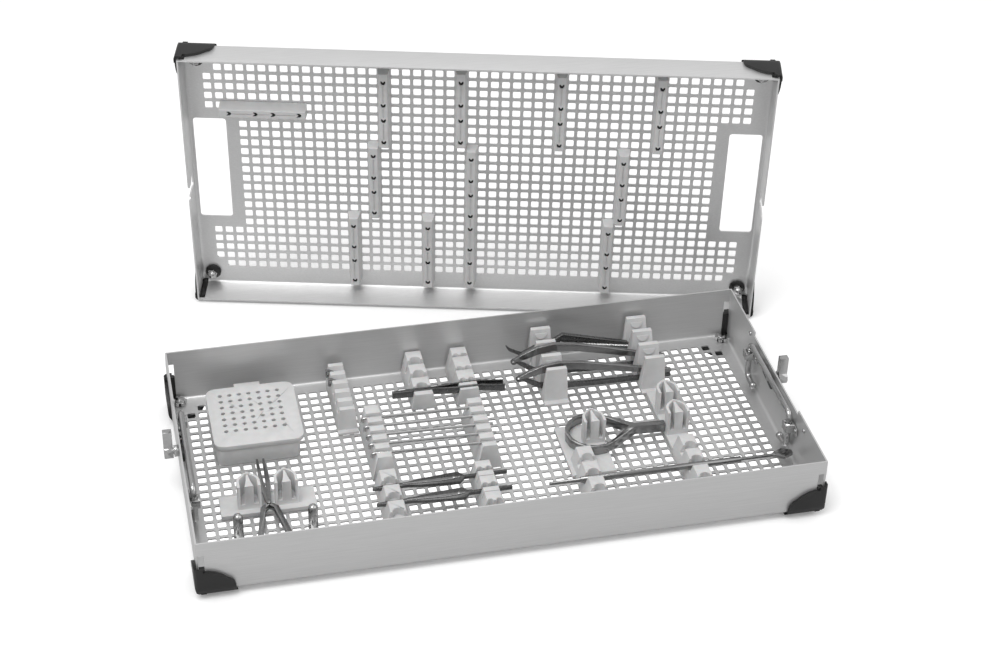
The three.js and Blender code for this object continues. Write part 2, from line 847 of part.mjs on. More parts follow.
function boxCover() {
  const x0 = boxX - boxLength / 2 - coverOverlap;
  const x1 = boxX + boxLength / 2 + coverOverlap + coverOverhang;
  const y0 = boxY - boxWidth / 2 - coverOverlap;
  const y1 = boxY + boxWidth / 2 + coverOverlap;
  const low = boxHeight + gap;
  const high = low + coverThickness;
  const notch = prism(outline([
    [x1 + overrun, y0 - overrun],
    [x1 + overrun, y0 + coverNotch + overrun],
    [x1 - coverNotch - overrun, y0 - overrun],
  ]), 'z', low - overrun, high + overrun);
  const tabHalf = coverTabWidth / 2;
  const tab = block(boxX - tabHalf, boxX + tabHalf, y1 - overrun, y1 + coverTabDepth, low, high);
  const middle = (coverHoles - 1) / 2;
  const holes = numbers(coverHoles * coverHoles).map((i) => {
    const x = boxX + ((i % coverHoles) - middle) * coverPitch;
    const y = boxY + coverHoleShift + (Math.floor(i / coverHoles) - middle) * coverPitch;
    return bar([x, y, low - overrun], [x, y, high + overrun], coverHole, coverHole, coverSides);
  });
  const plate = prism(roundedOutline(x0, x1, y0, y1, coverRound), 'z', low, high);
  return plate.add(tab).subtract(joined([notch, ...holes]));
}

// Handles and their brackets
function handle(side) {
  const x = side * (halfX - handleInset);
  const corner = (y, z) => new THREE.Vector3(x, y, z);
  const inward = handleHalf - footLength;
  const bail = wire([
    corner(inward, footHeight),
    corner(handleHalf, footHeight),
    corner(handleHalf, gripHeight),
    corner(-handleHalf, gripHeight),
    corner(-handleHalf, footHeight),
    corner(-inward, footHeight),
  ], wireRadius, wireBend);
  const ends = [inward, -inward].map((y) => ball([x, y, footHeight], footBall, coarse));
  return joined([bail, ...ends]);
}

function bracket(side, y) {
  const wall = halfX - gap;
  const wireX = halfX - handleInset;
  const bore = wireRadius + gap;
  const top = bracketBottom + bracketHeight;
  const span = (from, to, half) => block(
    Math.min(side * from, side * to),
    Math.max(side * from, side * to),
    y - half,
    y + half,
    bracketBottom,
    top,
  );
  const plate = span(wall - bracketPlate, wall, bracketWidth / 2);
  const hump = span(wireX - bore - bracketWall, wall, bracketHump / 2);
  const passage = bar(
    [side * wireX, y, bracketBottom - overrun],
    [side * wireX, y, top + overrun],
    bore,
    bore,
    coarse,
  );
  return plate.add(hump).subtract(passage);
}

// A latch: cam inside the wall, shaft through it, collar and wing knob outside
function latch(side) {
  const camFrom = halfX - gap - camThickness;
  const along = (from, to, radius, sides) => bar(
    [side * from, latchY, latchHeight],
    [side * to, latchY, latchHeight],
    radius,
    radius,
    sides,
  );
  const wingFrom = outerX + wingStart;
  const between = (shape, from, to) => {
    const ends = [side * from, side * to];
    return prism(shape, 'x', Math.min(...ends), Math.max(...ends));
  };
  const wide = circle(latchY + camWide - camLength / 2, latchHeight, camWide, medium);
  const narrow = circle(latchY + camLength / 2, latchHeight, camNarrow, medium);
  const web = outline([
    [latchY + camWide - camLength / 2, latchHeight - camWide],
    [latchY + camLength / 2, latchHeight - camNarrow],
    [latchY + camLength / 2, latchHeight + camNarrow],
    [latchY + camWide - camLength / 2, latchHeight + camWide],
  ]);
  const cam = [wide, narrow, web].map((shape) => between(shape, camFrom, halfX - gap));
  const stem = outline([
    [latchY - wingTip, latchHeight + wingLong],
    [latchY - wingTip, latchHeight],
    [latchY + wingTip, latchHeight],
    [latchY + wingTip, latchHeight + wingLong],
  ]);
  const wing = [circle(latchY, latchHeight, hubRadius, medium), stem].map((shape) => (
    between(shape, wingFrom, wingFrom + wingThickness)
  ));
  return joined([
    ...cam,
    along(camFrom, wingFrom + wingThickness / 2, shaftRadius, medium),
    along(outerX + gap, outerX + gap + collarLength, collarRadius, medium),
    ...wing,
  ]);
}

// Lid strips: tapered bars with a groove along the top and pockets across it
function lidStrip(u, v, length, upright) {
  const half = length / 2;
  const [middle, start] = upright ? [u, v] : [v, u];
  const across = (from, to) => ({ s: middle, lo: start + from, hi: start + to });
  const span = across(-half, half);
  const axis = upright ? 'y' : 'x';
  const body = prism(outline([
    [span.s - strip.width / 2, gap],
    [span.s + strip.width / 2, gap],
    [span.s + strip.top / 2, strip.height],
    [span.s - strip.top / 2, strip.height],
  ]), axis, span.lo, span.hi);
  const grooveFoot = strip.height - stripGrooveDepth;
  const groove = prism(outline([
    [span.s - stripGroove / 2, grooveFoot],
    [span.s + stripGroove / 2, grooveFoot],
    [span.s + stripGroove / 2, strip.height + overrun],
    [span.s - stripGroove / 2, strip.height + overrun],
  ]), axis, span.lo - overrun, span.hi + overrun);
  const pieces = numbers(Math.round(length / strip.length)).map((i) => i * strip.length - half);
  const places = pieces.flatMap((foot) => pocketShares.map((share) => foot + share * strip.length));
  const pockets = places.map((place) => {
    const cut = across(place - stripPocket / 2, place + stripPocket / 2);
    const low = strip.height - stripPocketDepth;
    return prism(outline([
      [span.s - strip.width, low],
      [span.s + strip.width, low],
      [span.s + strip.width, strip.height + overrun],
      [span.s - strip.width, strip.height + overrun],
    ]), axis, cut.lo, cut.hi);
  });
  return body.subtract(joined([groove, ...pockets]));
}

// Upright strips by the column and row of their middle; the last one is two strips in one
const stripPlaces = {
  lid_strip_top_1: [16, 3.38],
  lid_strip_top_2: [23, 3.15],
  lid_strip_top_3: [32, 3.15],
  lid_strip_top_4: [41, 3.15],
  lid_strip_middle_1: [15, 11.3],
  lid_strip_middle_2: [38, 11.3],
  lid_strip_bottom_1: [13, 19.3],
  lid_strip_bottom_2: [20, 19.3],
  lid_strip_bottom_3: [37, 19.3],
};
const doubleStripColumnCount = 24;
const doubleStripRowCount = 15.3;
const levelStripColumnCount = 5;
const levelStripRowCount = 4.09;

function lidStrips() {
  const strips = Object.entries(stripPlaces).map(([name, [column, row]]) => [
    name,
    lidStrip(holeX(column), holeY(row), strip.length, true),
  ]);
  const double = lidStrip(holeX(doubleStripColumnCount), holeY(doubleStripRowCount), strip.length * 2, true);
  const level = lidStrip(holeX(levelStripColumnCount), holeY(levelStripRowCount), strip.length, false);
  return [...strips, ['lid_strip_double', double], ['lid_strip_level', level]];
}

// Instruments. A flat band is a chain of tapered pieces through points given with half widths.
function band(points, axis, from, to) {
  const left = [];
  const right = [];
  points.forEach(([s, t, half], i) => {
    const before = points[Math.max(i - 1, 0)];
    const after = points[Math.min(i + 1, points.length - 1)];
    const way = new THREE.Vector2(after[0] - before[0], after[1] - before[1]).normalize();
    left.push([s - way.y * half, t + way.x * half]);
    right.unshift([s + way.y * half, t - way.x * half]);
  });
  return prism(outline([...right, ...left].reverse()), axis, from, to);
}

// Five rods across the two slotted strips, their left ends turned down
function rod(index) {
  const z = rodRest.height - rodSlots.depth + gap + rodRadius;
  const left = rodPlaces(rodLeft)[index];
  const right = rodPlaces(rodRight)[index];
  const slope = (right - left) / (rodRight.x - rodLeft.x);
  const start = rodLeft.x - rodRest.width / 2 + rodRadius;
  const end = rodRight.x + rodRest.width / 2 - rodRadius;
  const at = (x) => left + (x - rodLeft.x) * slope;
  return wire([
    new THREE.Vector3(start, at(start), z - rodBend),
    new THREE.Vector3(start, at(start), z),
    new THREE.Vector3(end, at(end), z),
  ], rodRadius, rodBend / 2);
}

// The slot behind a block of a row, as the place of its middle
function slotBehind(blocks, i) {
  return (blocks[i].back + blocks[i + 1].front) / 2;
}

// Forceps: thin tips to the left, a wide middle, and narrow ends to the right, as shares of the
// way along and of the whole width
const forcepsShares = [
  [0, 0.05],
  [0.08, 0.13],
  [0.26, 0.15],
  [0.34, 0.3],
  [0.55, 0.46],
  [0.64, 0.5],
  [0.68, 0.1],
  [1, 0.09],
];

function forceps(left, right) {
  const low = notchRest.floor + gap;
  const start = rodLeft.x - forcepsStart;
  const end = rodRight.x + forcepsEnd;
  const points = forcepsShares.map(([share, width]) => [
    start + (end - start) * share,
    left + (right - left) * share,
    width * forcepsWidth,
  ]);
  return band(points, 'z', low, low + forcepsThickness);
}

// Cross tweezers on edge in the forked rests: two arms from one head, as shares of the way
// along and of the spread to the back
const frontArmShares = [[0.02, -0.06], [0.14, -0.1], [0.39, -0.1], [0.57, -0.3], [0.8, -0.3], [1, -0.69]];
const backArmShares = [[0.02, 0.06], [0.14, 0.1], [0.39, 0.1], [0.57, 0.2136], [0.8, 0.2136], [1, -0.055]];

function tweezers() {
  const low = forkRest.floor + gap;
  const high = low + tweezersHeight;
  const start = forkLeft.x - tweezersStart;
  const length = forkRight.x + tweezersEnd - start;
  const arms = [frontArmShares, backArmShares].map((armShares) => band(
    armShares.map(([share, spread]) => [
      start + length * share,
      tweezersY + spread * tweezersWidth,
      tweezersSheet / 2,
    ]),
    'z',
    low,
    high,
  ));
  const front = tweezersY - tweezersSheet;
  const head = block(start, start + tweezersHead, front, tweezersY + tweezersSheet, low, high);
  return joined([...arms, head]);
}

function flatRing(x, y, radius, low, high) {
  const outer = bar([x, y, low], [x, y, high], radius, radius, medium);
  const inner = radius - ringWire;
  return outer.subtract(bar([x, y, low - overrun], [x, y, high + overrun], inner, inner, medium));
}

// Needle-holder scissors between the turrets: tips to the back, ring handles to the front wall
function scissors() {
  const { x } = scissorsPlate;
  const low = turretFoot + gap;
  const high = low + scissorsThickness;
  const tipY = boxY - boxWidth / 2 - coverOverlap - scissorsTipGap;
  const ringY = -halfY + ringRadius + overrun;
  const halves = [-1, 1].map((side) => {
    const ringX = x + side * (ringRadius + ringWire);
    const arm = band([
      [x - side * scissorsWaist / 2, tipY, bladeTip],
      [x - side * scissorsWaist / 2, (tipY + scissorsJoint) / 2, bladeHalf],
      [x, scissorsJoint, bladeHalf],
      [x + side * scissorsWaist, scissorsJoint - scissorsWaist, scissorsArm],
      [ringX + side * ringWire / 2, scissorsKnee, scissorsArm],
      [ringX, ringY + ringRadius - ringWire / 2, scissorsArm],
    ], 'z', low, high);
    return arm.add(flatRing(ringX, ringY, ringRadius, low, high));
  });
  const pivot = bar([x, scissorsJoint, low], [x, scissorsJoint, high + sheet], bladeHalf, bladeHalf, medium);
  return joined([...halves, pivot]);
}

// Instruments that stand on edge in the tall rests, seen from the front: shares of the way
// along, of the rise above the slot's foot and, last, of the handle's width
const upperArmShares = [
  [0, 0.48],
  [0.1, 0.58],
  [0.18, 0.73],
  [0.26, 0.75],
  [0.35, 0.68],
  [0.55, 0.5],
  [0.76, 0.25],
  [1, 0.16],
];
const lowerArmShares = [
  [0, 0.42],
  [0.05, 0.38],
  [0.12, 0.18],
  [0.22, 0.08],
  [0.34, 0.04],
  [0.5, 0.01],
  [0.78, 0],
  [1, 0],
];
const knurledShares = [
  [0, 0.52, 0.06],
  [0.02, 0.42, 0.12],
  [0.1, 0.25, 0.2],
  [0.2, 0.38, 0.3],
  [0.3, 0.45, 0.34],
  [0.36, 0.53, 0.5],
  [0.78, 0.145, 0.5],
  [0.86, 0.02, 0.24],
  [1, 0, 0.12],
];
const frontBowShare = 0.8;
const edgeStart = tallRest.x - springStart;
const edgeEnd = tallRightX + springEnd;
const edgeFoot = tallRest.height - tallSlots.depth + gap;

function edgePoint(share, rise, half) {
  return [edgeStart + (edgeEnd - edgeStart) * share, edgeFoot + half + rise * springRise, half];
}

function springInstrument(y, bowShare) {
  const from = y - springThickness / 2;
  const to = y + springThickness / 2;
  const half = springArm / 2;
  const upper = upperArmShares.map(([share, rise]) => edgePoint(share, rise * bowShare, half));
  const lower = lowerArmShares.map(([share, rise]) => edgePoint(share, rise * bowShare, half));
  return band(upper, 'y', from, to).add(band(lower, 'y', from, to));
}

function knurledInstrument(y) {
  const points = knurledShares.map(([share, rise, width]) => edgePoint(share, rise, width * knurledWidth));
  return band(points, 'y', y - springThickness / 2, y + springThickness / 2);
}

// Loop-handled instrument: a band bowed round the left turret, two arms and a jaw
const loopReachShare = 0.72;

function loopInstrument() {
  const low = turretFoot + gap;
  const high = low + loopHeight;
  const centre = penTurretLeft.x;
  const reach = Math.PI * loopReachShare;
  const points = numbers(medium + 1).map((i) => {
    const angle = Math.PI - reach + (2 * reach * i) / medium;
    return [centre + loopRadius * Math.cos(angle), loopY + loopRadius * Math.sin(angle), loopBand / 2];
  });
  const jointX = (centre + penTurretRight.x) / 2;
  const jawX = penTurretRight.x - turret.width / 2 - gap;
  const first = points[0];
  const last = points[medium];
  const loop = band(points, 'z', low, high);
  const back = band([first, [jointX, loopY, loopBand], [jawX, loopY, loopBand / 2]], 'z', low, high);
  const jaw = [jawX, loopY - loopBand, loopBand / 2];
  const front = band([last, [jointX, loopY, loopBand], jaw], 'z', low, high);
  return joined([loop, back, front]);
}

// Long instrument across the front rests: a round handle, a thin neck and a paddle
function longInstrument() {
  const y = penY;
  const z = penRest.floor + gap + penRadius;
  const start = penLeft.x - penStart;
  const thick = penLeft.x - penRest.width / 2;
  const end = halfX - paddleGap - paddleLength;
  const tip = bar([start, y, z], [thick + penRadius, y, z], penTip, penNeck, coarse);
  const grip = bar([thick, y, z], [penGripEnd, y, z], penRadius, penRadius, medium);
  const shank = bar([penGripEnd - penRadius, y, z], [end, y, z], penTip, penTip, coarse);
  const paddle = band([
    [end - penTip, y, penTip],
    [end + paddleLength / 2, y, paddleWidth / 2],
    [end + paddleLength, y, paddleWidth / 6],
  ], 'z', z - penTip, z + penTip);
  return joined([tip, grip, shank, paddle]);
}

// Small spring clamps that stand in the slots of the clamp rack
function smallClamp(y) {
  const low = clampRack.height - clampSlots.depth + gap;
  const x = clampRack.x - clampRack.top / 2 - clampLength / 4;
  const outer = outline([
    [x, low],
    [x + clampLength, low],
    [x + clampLength, low + clampWire],
    [x + clampLength / 4, low + clampHeight],
    [x, low + clampHeight],
  ]);
  const inner = outline([
    [x + clampWire, low + clampWire],
    [x + clampLength - clampWire * 3, low + clampWire],
    [x + clampLength / 4, low + clampHeight - clampWire],
    [x + clampWire, low + clampHeight - clampWire],
  ]);
  const half = clampThickness / 2;
  const eye = prism(inner, 'y', y - half - overrun, y + half + overrun);
  return prism(outer, 'y', y - half, y + half).subtract(eye);
}

// Assembly

const cassette = new THREE.Group();

function place(parent, name, body, material) {
  const mesh = new THREE.Mesh(geometryOf(body), material);
  mesh.name = name;
  parent.add(mesh);
  return mesh;
}

// One guard in each corner of a pan, turned about its own corner by mirroring its solid
function placeGuards(parent, prefix, reachX, reachY, guard) {
  const corners = { front_left: [-1, -1], front_right: [1, -1], back_left: [-1, 1], back_right: [1, 1] };
  Object.entries(corners).forEach(([name, [sideX, sideY]]) => {
    const turned = guard.scale([-sideX, -sideY, 1]).translate([sideX * reachX, sideY * reachY, -sheet]);
    place(parent, `${prefix}_${name}`, turned, blackPlastic);
  });
}

place(cassette, 'base_tray', baseTray(), steel);
const baseStud = studWith(nutHead, studInset, studInset);
placeGuards(cassette, 'base_guard', outerX, outerY, cornerGuard(baseStud, baseRibTop));
[['left', -1], ['right', 1]].forEach(([name, side]) => {
  place(cassette, `handle_${name}`, handle(side), chrome);
  place(cassette, `bracket_${name}_front`, bracket(side, -handleHalf), chrome);
  place(cassette, `bracket_${name}_back`, bracket(side, handleHalf), chrome);
  place(cassette, `latch_${name}`, latch(side), chrome);
});

place(cassette, 'box_body', boxBody(), silicone);
place(cassette, 'box_lid', boxCover(), silicone);
place(cassette, 'clamp_rack', straightRest(clampRack.x, clampRack, clampSlots), silicone);
const forkLeftBlocks = blocksOf(forkRest, forkLeft, forkLeftShares);
const forkRightBlocks = blocksOf(forkRest, forkRight, forkRightShares);
place(cassette, 'fork_rest_left', blockRest(forkLeft.x, forkRest, forkLeftBlocks), silicone);
place(cassette, 'fork_rest_right', blockRest(forkRight.x, forkRest, forkRightBlocks), silicone);
place(cassette, 'rod_strip_left', rodStripLeft(), silicone);
place(cassette, 'rod_strip_right', rodStrip(rodRight), silicone);
place(cassette, 'notch_rest_right', blockRest(notchRight.x, notchRest, notchRightBlocks), silicone);
place(cassette, 'turret_plate', turretPlate(), silicone);
place(cassette, 'dome_pin_left', domePin(-1), chrome);
place(cassette, 'dome_pin_right', domePin(1), chrome);
place(cassette, 'tall_rest_left', straightRest(tallRest.x, tallRest, tallSlots), silicone);
place(cassette, 'tall_rest_right', straightRest(tallRightX, tallRest, tallSlots), silicone);
place(cassette, 'pen_strip_left', penStrip(penLeft, penLeftShares, penTurretLeft), silicone);
place(cassette, 'pen_strip_right', penStrip(penRight, penRightShares, penTurretRight), silicone);

place(cassette, 'clamp_back', smallClamp(clampPlaces[0]), instrumentSteel);
place(cassette, 'clamp_front', smallClamp(clampPlaces[1]), instrumentSteel);
place(cassette, 'tweezers', tweezers(), instrumentSteel);
numbers(rodSlots.count).forEach((i) => place(cassette, `rod_${i + 1}`, rod(i), instrumentSteel));
const backForceps = forceps(slotBehind(notchLeftBlocks, 1), slotBehind(notchRightBlocks, 3));
const frontForceps = forceps(slotBehind(notchLeftBlocks, 0), slotBehind(notchRightBlocks, 1));
place(cassette, 'forceps_1', backForceps, instrumentSteel);
place(cassette, 'forceps_2', frontForceps, instrumentSteel);
place(cassette, 'scissors', scissors(), instrumentSteel);
place(cassette, 'knurled_instrument', knurledInstrument(tallPlaces[0]), instrumentSteel);
place(cassette, 'spring_holder_back', springInstrument(tallPlaces[1], 1), instrumentSteel);
place(cassette, 'spring_holder_front', springInstrument(tallPlaces[2], frontBowShare), instrumentSteel);
place(cassette, 'loop_forceps', loopInstrument(), instrumentSteel);
place(cassette, 'long_instrument', longInstrument(), instrumentSteel);

// The lid stands on its long edge behind the tray, its inside towards the front
const lid = new THREE.Group();
place(lid, 'lid_tray', lidTray(), steel);
const lidStud = studWith(buttonHead, buttonInsetX, buttonInsetY);
placeGuards(lid, 'lid_guard', lidOuterX, lidOuterY, cornerGuard(lidStud, lidRibTop));
lidStrips().forEach(([name, body]) => place(lid, name, body, silicone));
lid.rotation.set(THREE.MathUtils.degToRad(90 + lidLean), 0, THREE.MathUtils.degToRad(lidYaw), 'ZXY');
lid.position.set(lidX, lidY, 0);
cassette.add(lid);
lid.updateMatrixWorld(true);
const ground = -sheet - guardFoot;
lid.position.z = ground - new THREE.Box3().setFromObject(lid, true).min.z;

// The reference point is the middle of the assembly on the ground
cassette.updateMatrixWorld(true);
const whole = new THREE.Box3().setFromObject(cassette, true);
cassette.position.set(-(whole.min.x + whole.max.x) / 2, -(whole.min.y + whole.max.y) / 2, -whole.min.z);

export default cassette;
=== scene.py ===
"""Looks of the dental instrument cassette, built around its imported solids.

A punched steel tray with black corner guards, bail handles and turn latches holds silicone rests
and instruments; its loose lid stands open behind it. Every piece is placed from the frame, in metres.
"""

import logging
import math
from dataclasses import dataclass
from enum import Enum
from typing import Iterable, Optional, Sequence

import bmesh
import bpy
from mathutils import Matrix, Vector


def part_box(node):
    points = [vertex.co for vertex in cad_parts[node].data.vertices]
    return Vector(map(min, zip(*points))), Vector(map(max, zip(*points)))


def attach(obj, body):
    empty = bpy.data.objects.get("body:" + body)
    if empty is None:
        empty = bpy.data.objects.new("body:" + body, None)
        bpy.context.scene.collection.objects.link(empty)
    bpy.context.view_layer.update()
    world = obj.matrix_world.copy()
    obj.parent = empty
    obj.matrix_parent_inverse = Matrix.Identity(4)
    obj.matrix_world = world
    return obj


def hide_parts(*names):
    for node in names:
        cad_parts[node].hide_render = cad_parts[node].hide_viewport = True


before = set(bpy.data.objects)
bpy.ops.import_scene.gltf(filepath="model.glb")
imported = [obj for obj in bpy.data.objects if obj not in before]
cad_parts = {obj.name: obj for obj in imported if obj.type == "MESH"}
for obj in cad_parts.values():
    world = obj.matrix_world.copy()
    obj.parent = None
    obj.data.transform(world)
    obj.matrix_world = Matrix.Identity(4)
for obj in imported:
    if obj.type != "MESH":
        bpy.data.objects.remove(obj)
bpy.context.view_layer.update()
LOG = logging.getLogger("cassette")

MM = 0.001
SHEET = 1.2 * MM
PITCH = 9.2 * MM
HOLE = 6.5 * MM
COLUMNS = 50
ROWS = 23
GAP = 0.3 * MM


class Body(Enum):
    """The moving bodies that pieces ride on; instruments have a body each, named after their node."""

    TRAY = "base"
    LID = "lid"
    BOX_COVER = "box_cover"


class Slot(Enum):
    """The record's material slots."""

    STEEL = "steel"
    CHROME = "chrome"
    GUARD = "guard"
    SILICONE = "silicone"
    INSTRUMENT = "instrument"


class Axis(Enum):
    """Directions along which an outline is pushed into a solid."""

    X = "x"
    Y = "y"
    Z = "z"


# Finishes


class NodeBoard:
    """A new material's node tree, with short ways to add and join nodes."""

    def __init__(self, name: str) -> None:
        """Starts a material with a single Principled shader.

        Args:
            name: the material's name.
        """
        self.material = bpy.data.materials.new(name)
        self.material.use_nodes = True
        self.nodes = self.material.node_tree.nodes
        self.links = self.material.node_tree.links
        self.shader = self.nodes["Principled BSDF"]

    def add(self, kind: str, **values: object) -> bpy.types.Node:
        """Adds a node and sets its inputs or properties by name.

        Args:
            kind: the node's type name.
            values: inputs, with spaces written as underscores, or properties.

        Returns:
            The node.
        """
        node = self.nodes.new(kind)
        for key, value in values.items():
            if hasattr(node, key):
                setattr(node, key, value)
            else:
                node.inputs[key.replace("_", " ")].default_value = value
        return node

    def join(self, source: bpy.types.NodeSocket, target: bpy.types.NodeSocket) -> None:
        """Links one socket to another."""
        self.links.new(source, target)

    def mapped(self, scale: Sequence[float], turn: Sequence[float]) -> bpy.types.NodeSocket:
        """Object coordinates, stretched and turned.

        Args:
            scale: the scale along each axis.
            turn: the rotation in radians.

        Returns:
            The vector output.
        """
        place = self.add("ShaderNodeTexCoord")
        mapping = self.add("ShaderNodeMapping", Scale=scale, Rotation=turn)
        self.join(place.outputs["Object"], mapping.inputs["Vector"])
        return mapping.outputs["Vector"]

    def noise(self, vector: bpy.types.NodeSocket, scale: float, detail: float) -> bpy.types.NodeSocket:
        """A noise texture.

        Args:
            vector: the coordinates to read.
            scale: how fine it is.
            detail: how many octaves it has.

        Returns:
            Its factor output.
        """
        node = self.add("ShaderNodeTexNoise", Scale=scale, Detail=detail)
        self.join(vector, node.inputs["Vector"])
        return node.outputs["Fac"]

    def spread(self, source: bpy.types.NodeSocket, low: float, high: float) -> bpy.types.NodeSocket:
        """Maps the middle of a noise to a range of values.

        Args:
            source: the noise.
            low: the value for its dark parts.
            high: the value for its light parts.

        Returns:
            The mapped value.
        """
        node = self.add("ShaderNodeMapRange", From_Min=0.3, From_Max=0.7, To_Min=low, To_Max=high)
        self.join(source, node.inputs["Value"])
        return node.outputs["Result"]

    def math(self, operation: str, *values: object) -> bpy.types.NodeSocket:
        """A sum, product, comparison or the like.

        Args:
            operation: the operation's name.
            values: sockets or numbers, in the order of the node's inputs.

        Returns:
            The result.
        """
        node = self.add("ShaderNodeMath", operation=operation)
        for socket, value in zip(node.inputs, values):
            if isinstance(value, bpy.types.NodeSocket):
                self.join(value, socket)
            else:
                socket.default_value = value
        return node.outputs["Value"]

    def roughened(self, source: bpy.types.NodeSocket, low: float, high: float) -> None:
        """Feeds the roughness with a noise mapped to a range."""
        self.join(self.spread(source, low, high), self.shader.inputs["Roughness"])

    def tinted(self, source: bpy.types.NodeSocket, dark: Sequence[float], light: Sequence[float]) -> None:
        """Feeds the base colour with a ramp between two colours.

        Args:
            source: what drives the ramp.
            dark: the colour at its low end.
            light: the colour at its high end.
        """
        ramp = self.add("ShaderNodeValToRGB")
        ramp.color_ramp.elements[0].position = 0.3
        ramp.color_ramp.elements[1].position = 0.7
        ramp.color_ramp.elements[0].color = (*dark, 1)
        ramp.color_ramp.elements[1].color = (*light, 1)
        self.join(source, ramp.inputs["Fac"])
        self.join(ramp.outputs["Color"], self.shader.inputs["Base Color"])

    def raised(self, source: bpy.types.NodeSocket, depth: float, strength: float) -> None:
        """Feeds the normal with a bump.

        Args:
            source: the height.
            depth: how high the bump is, in metres.
            strength: how much of it shows.
        """
        bump = self.add("ShaderNodeBump", Strength=strength, Distance=depth)
        self.join(source, bump.inputs["Height"])
        self.join(bump.outputs["Normal"], self.shader.inputs["Normal"])


@dataclass(frozen=True)
class BrushedSteel:
    """Sheet steel with a fine straight grain.

    The grain runs along X, turned by `turn` about Z for the yawed lid.
    """

    name: str
    tone: float = 0.64
    roughness: float = 0.4
    turn: float = 0.0

    def build(self) -> bpy.types.Material:
        """Makes the material.

        Returns:
            The material.
        """
        board = NodeBoard(self.name)
        grain = board.noise(board.mapped((18, 900, 900), (0, 0, self.turn)), 2.2, 3)
        cloud = board.noise(board.mapped((9, 9, 9), (0, 0, 0)), 2.0, 2)
        board.shader.inputs["Metallic"].default_value = 0.72
        board.tinted(grain, (self.tone * 0.95,) * 3, (self.tone * 1.04,) * 3)
        fine = board.spread(grain, self.roughness - 0.04, self.roughness + 0.04)
        mixed = board.math("ADD", fine, board.spread(cloud, -0.03, 0.03))
        board.join(mixed, board.shader.inputs["Roughness"])
        board.raised(grain, 0.00001, 0.2)
        return board.material


@dataclass(frozen=True)
class PolishedSteel:
    """Bright wire and pressed parts with faint handling marks."""

    name: str
    tone: float = 0.5
    roughness: float = 0.16

    def build(self) -> bpy.types.Material:
        """Makes the material.

        Returns:
            The material.
        """
        board = NodeBoard(self.name)
        marks = board.noise(board.mapped((300, 60, 300), (0.4, 0.2, 0)), 2.0, 4)
        board.shader.inputs["Metallic"].default_value = 1.0
        board.tinted(marks, (self.tone * 0.95,) * 3, (self.tone * 1.04,) * 3)
        board.roughened(marks, self.roughness - 0.03, self.roughness + 0.04)
        board.raised(marks, 0.000004, 0.15)
        return board.material


@dataclass(frozen=True)
class MouldedPlastic:
    """Black moulded plastic with a fine leather-like grain."""

    name: str
    tone: float = 0.012
    roughness: float = 0.42

    def build(self) -> bpy.types.Material:
        """Makes the material.

        Returns:
            The material.
        """
        board = NodeBoard(self.name)
        grain = board.noise(board.mapped((700, 700, 700), (0, 0, 0)), 2.5, 3)
        wear = board.noise(board.mapped((40, 40, 40), (0, 0, 0)), 2.0, 2)
        board.tinted(wear, (self.tone * 0.8,) * 3, (self.tone * 1.5,) * 3)
        board.roughened(wear, self.roughness - 0.06, self.roughness + 0.1)
        board.raised(grain, 0.00004, 0.4)
        return board.material


@dataclass(frozen=True)
class PaleSilicone:
    """Pale grey silicone: satin, very slightly mottled, a little light passing in."""

    name: str
    tone: float = 0.6
    roughness: float = 0.5

    def build(self) -> bpy.types.Material:
        """Makes the material.

        Returns:
            The material.
        """
        board = NodeBoard(self.name)
        cloud = board.noise(board.mapped((60, 60, 60), (0, 0, 0)), 2.0, 3)
        skin = board.noise(board.mapped((900, 900, 900), (0, 0, 0)), 2.0, 2)
        board.tinted(cloud, (self.tone * 0.96,) * 3, (self.tone * 1.05,) * 3)
        board.roughened(cloud, self.roughness - 0.05, self.roughness + 0.06)
        board.shader.inputs["Subsurface Weight"].default_value = 0.08
        board.shader.inputs["Subsurface Scale"].default_value = 0.002
        board.raised(skin, 0.00002, 0.25)
        return board.material


STEEL = BrushedSteel("tray_steel")
LID_STEEL = BrushedSteel("lid_steel", tone=0.74, turn=math.radians(14.07))
CHROME = PolishedSteel("bright_steel")
GUARD = MouldedPlastic("guard_plastic", tone=0.009)
CAM = MouldedPlastic("cam_plastic", tone=0.02, roughness=0.3)
SILICONE = PaleSilicone("pale_silicone")
# Dark discs on the lid strips' pocket floors: painted shade for the deep star slits.
PAINTED_POCKET_SHADE = MouldedPlastic("painted_pocket_shade", tone=0.012, roughness=0.7)
INSTRUMENT = PolishedSteel("instrument_steel", tone=0.3, roughness=0.2)
# A darker copy of the instrument steel for the tweezers, forceps, knurled instrument and the spring holders'
# thin arms: its darkness is painted shade for the dark reflections these polished instruments show.
DARK_INSTRUMENT = PolishedSteel("darkened_instrument_steel", tone=0.17, roughness=0.28)
ROD_STEEL = PolishedSteel("rod_steel", tone=0.5, roughness=0.12)
_FINISHES: dict[str, bpy.types.Material] = {}


def material(finish: object) -> bpy.types.Material:
    """The material of a finish, made once.

    Args:
        finish: one of the finish dataclasses.

    Returns:
        The material.
    """
    if finish.name not in _FINISHES:
        _FINISHES[finish.name] = finish.build()
    return _FINISHES[finish.name]


# Pieces


def new_piece(name: str, mesh: bpy.types.Mesh) -> bpy.types.Object:
    """Links a mesh to the scene as an object.

    Args:
        name: the object's name.
        mesh: its mesh.

    Returns:
        The object.
    """
    piece = bpy.data.objects.new(name, mesh)
    bpy.context.scene.collection.objects.link(piece)
    return piece


def present(piece: bpy.types.Object, finish: object, body: str, slot: Slot, *nodes: str) -> bpy.types.Object:
    """Gives a piece its finish and body, and says which solids it stands for.

    Args:
        piece: the finished object.
        finish: its finish.
        body: the body it rides on.
        slot: the record's material slot; not used.
        nodes: the CAD nodes that it replaces.

    Returns:
        The piece.
    """
    piece.data.materials.clear()
    piece.data.materials.append(material(finish))
    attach(piece, body)
    if nodes:
        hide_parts(*nodes)
    LOG.info("%s rides on %s, %d faces", piece.name, body, len(piece.data.polygons))
    return piece


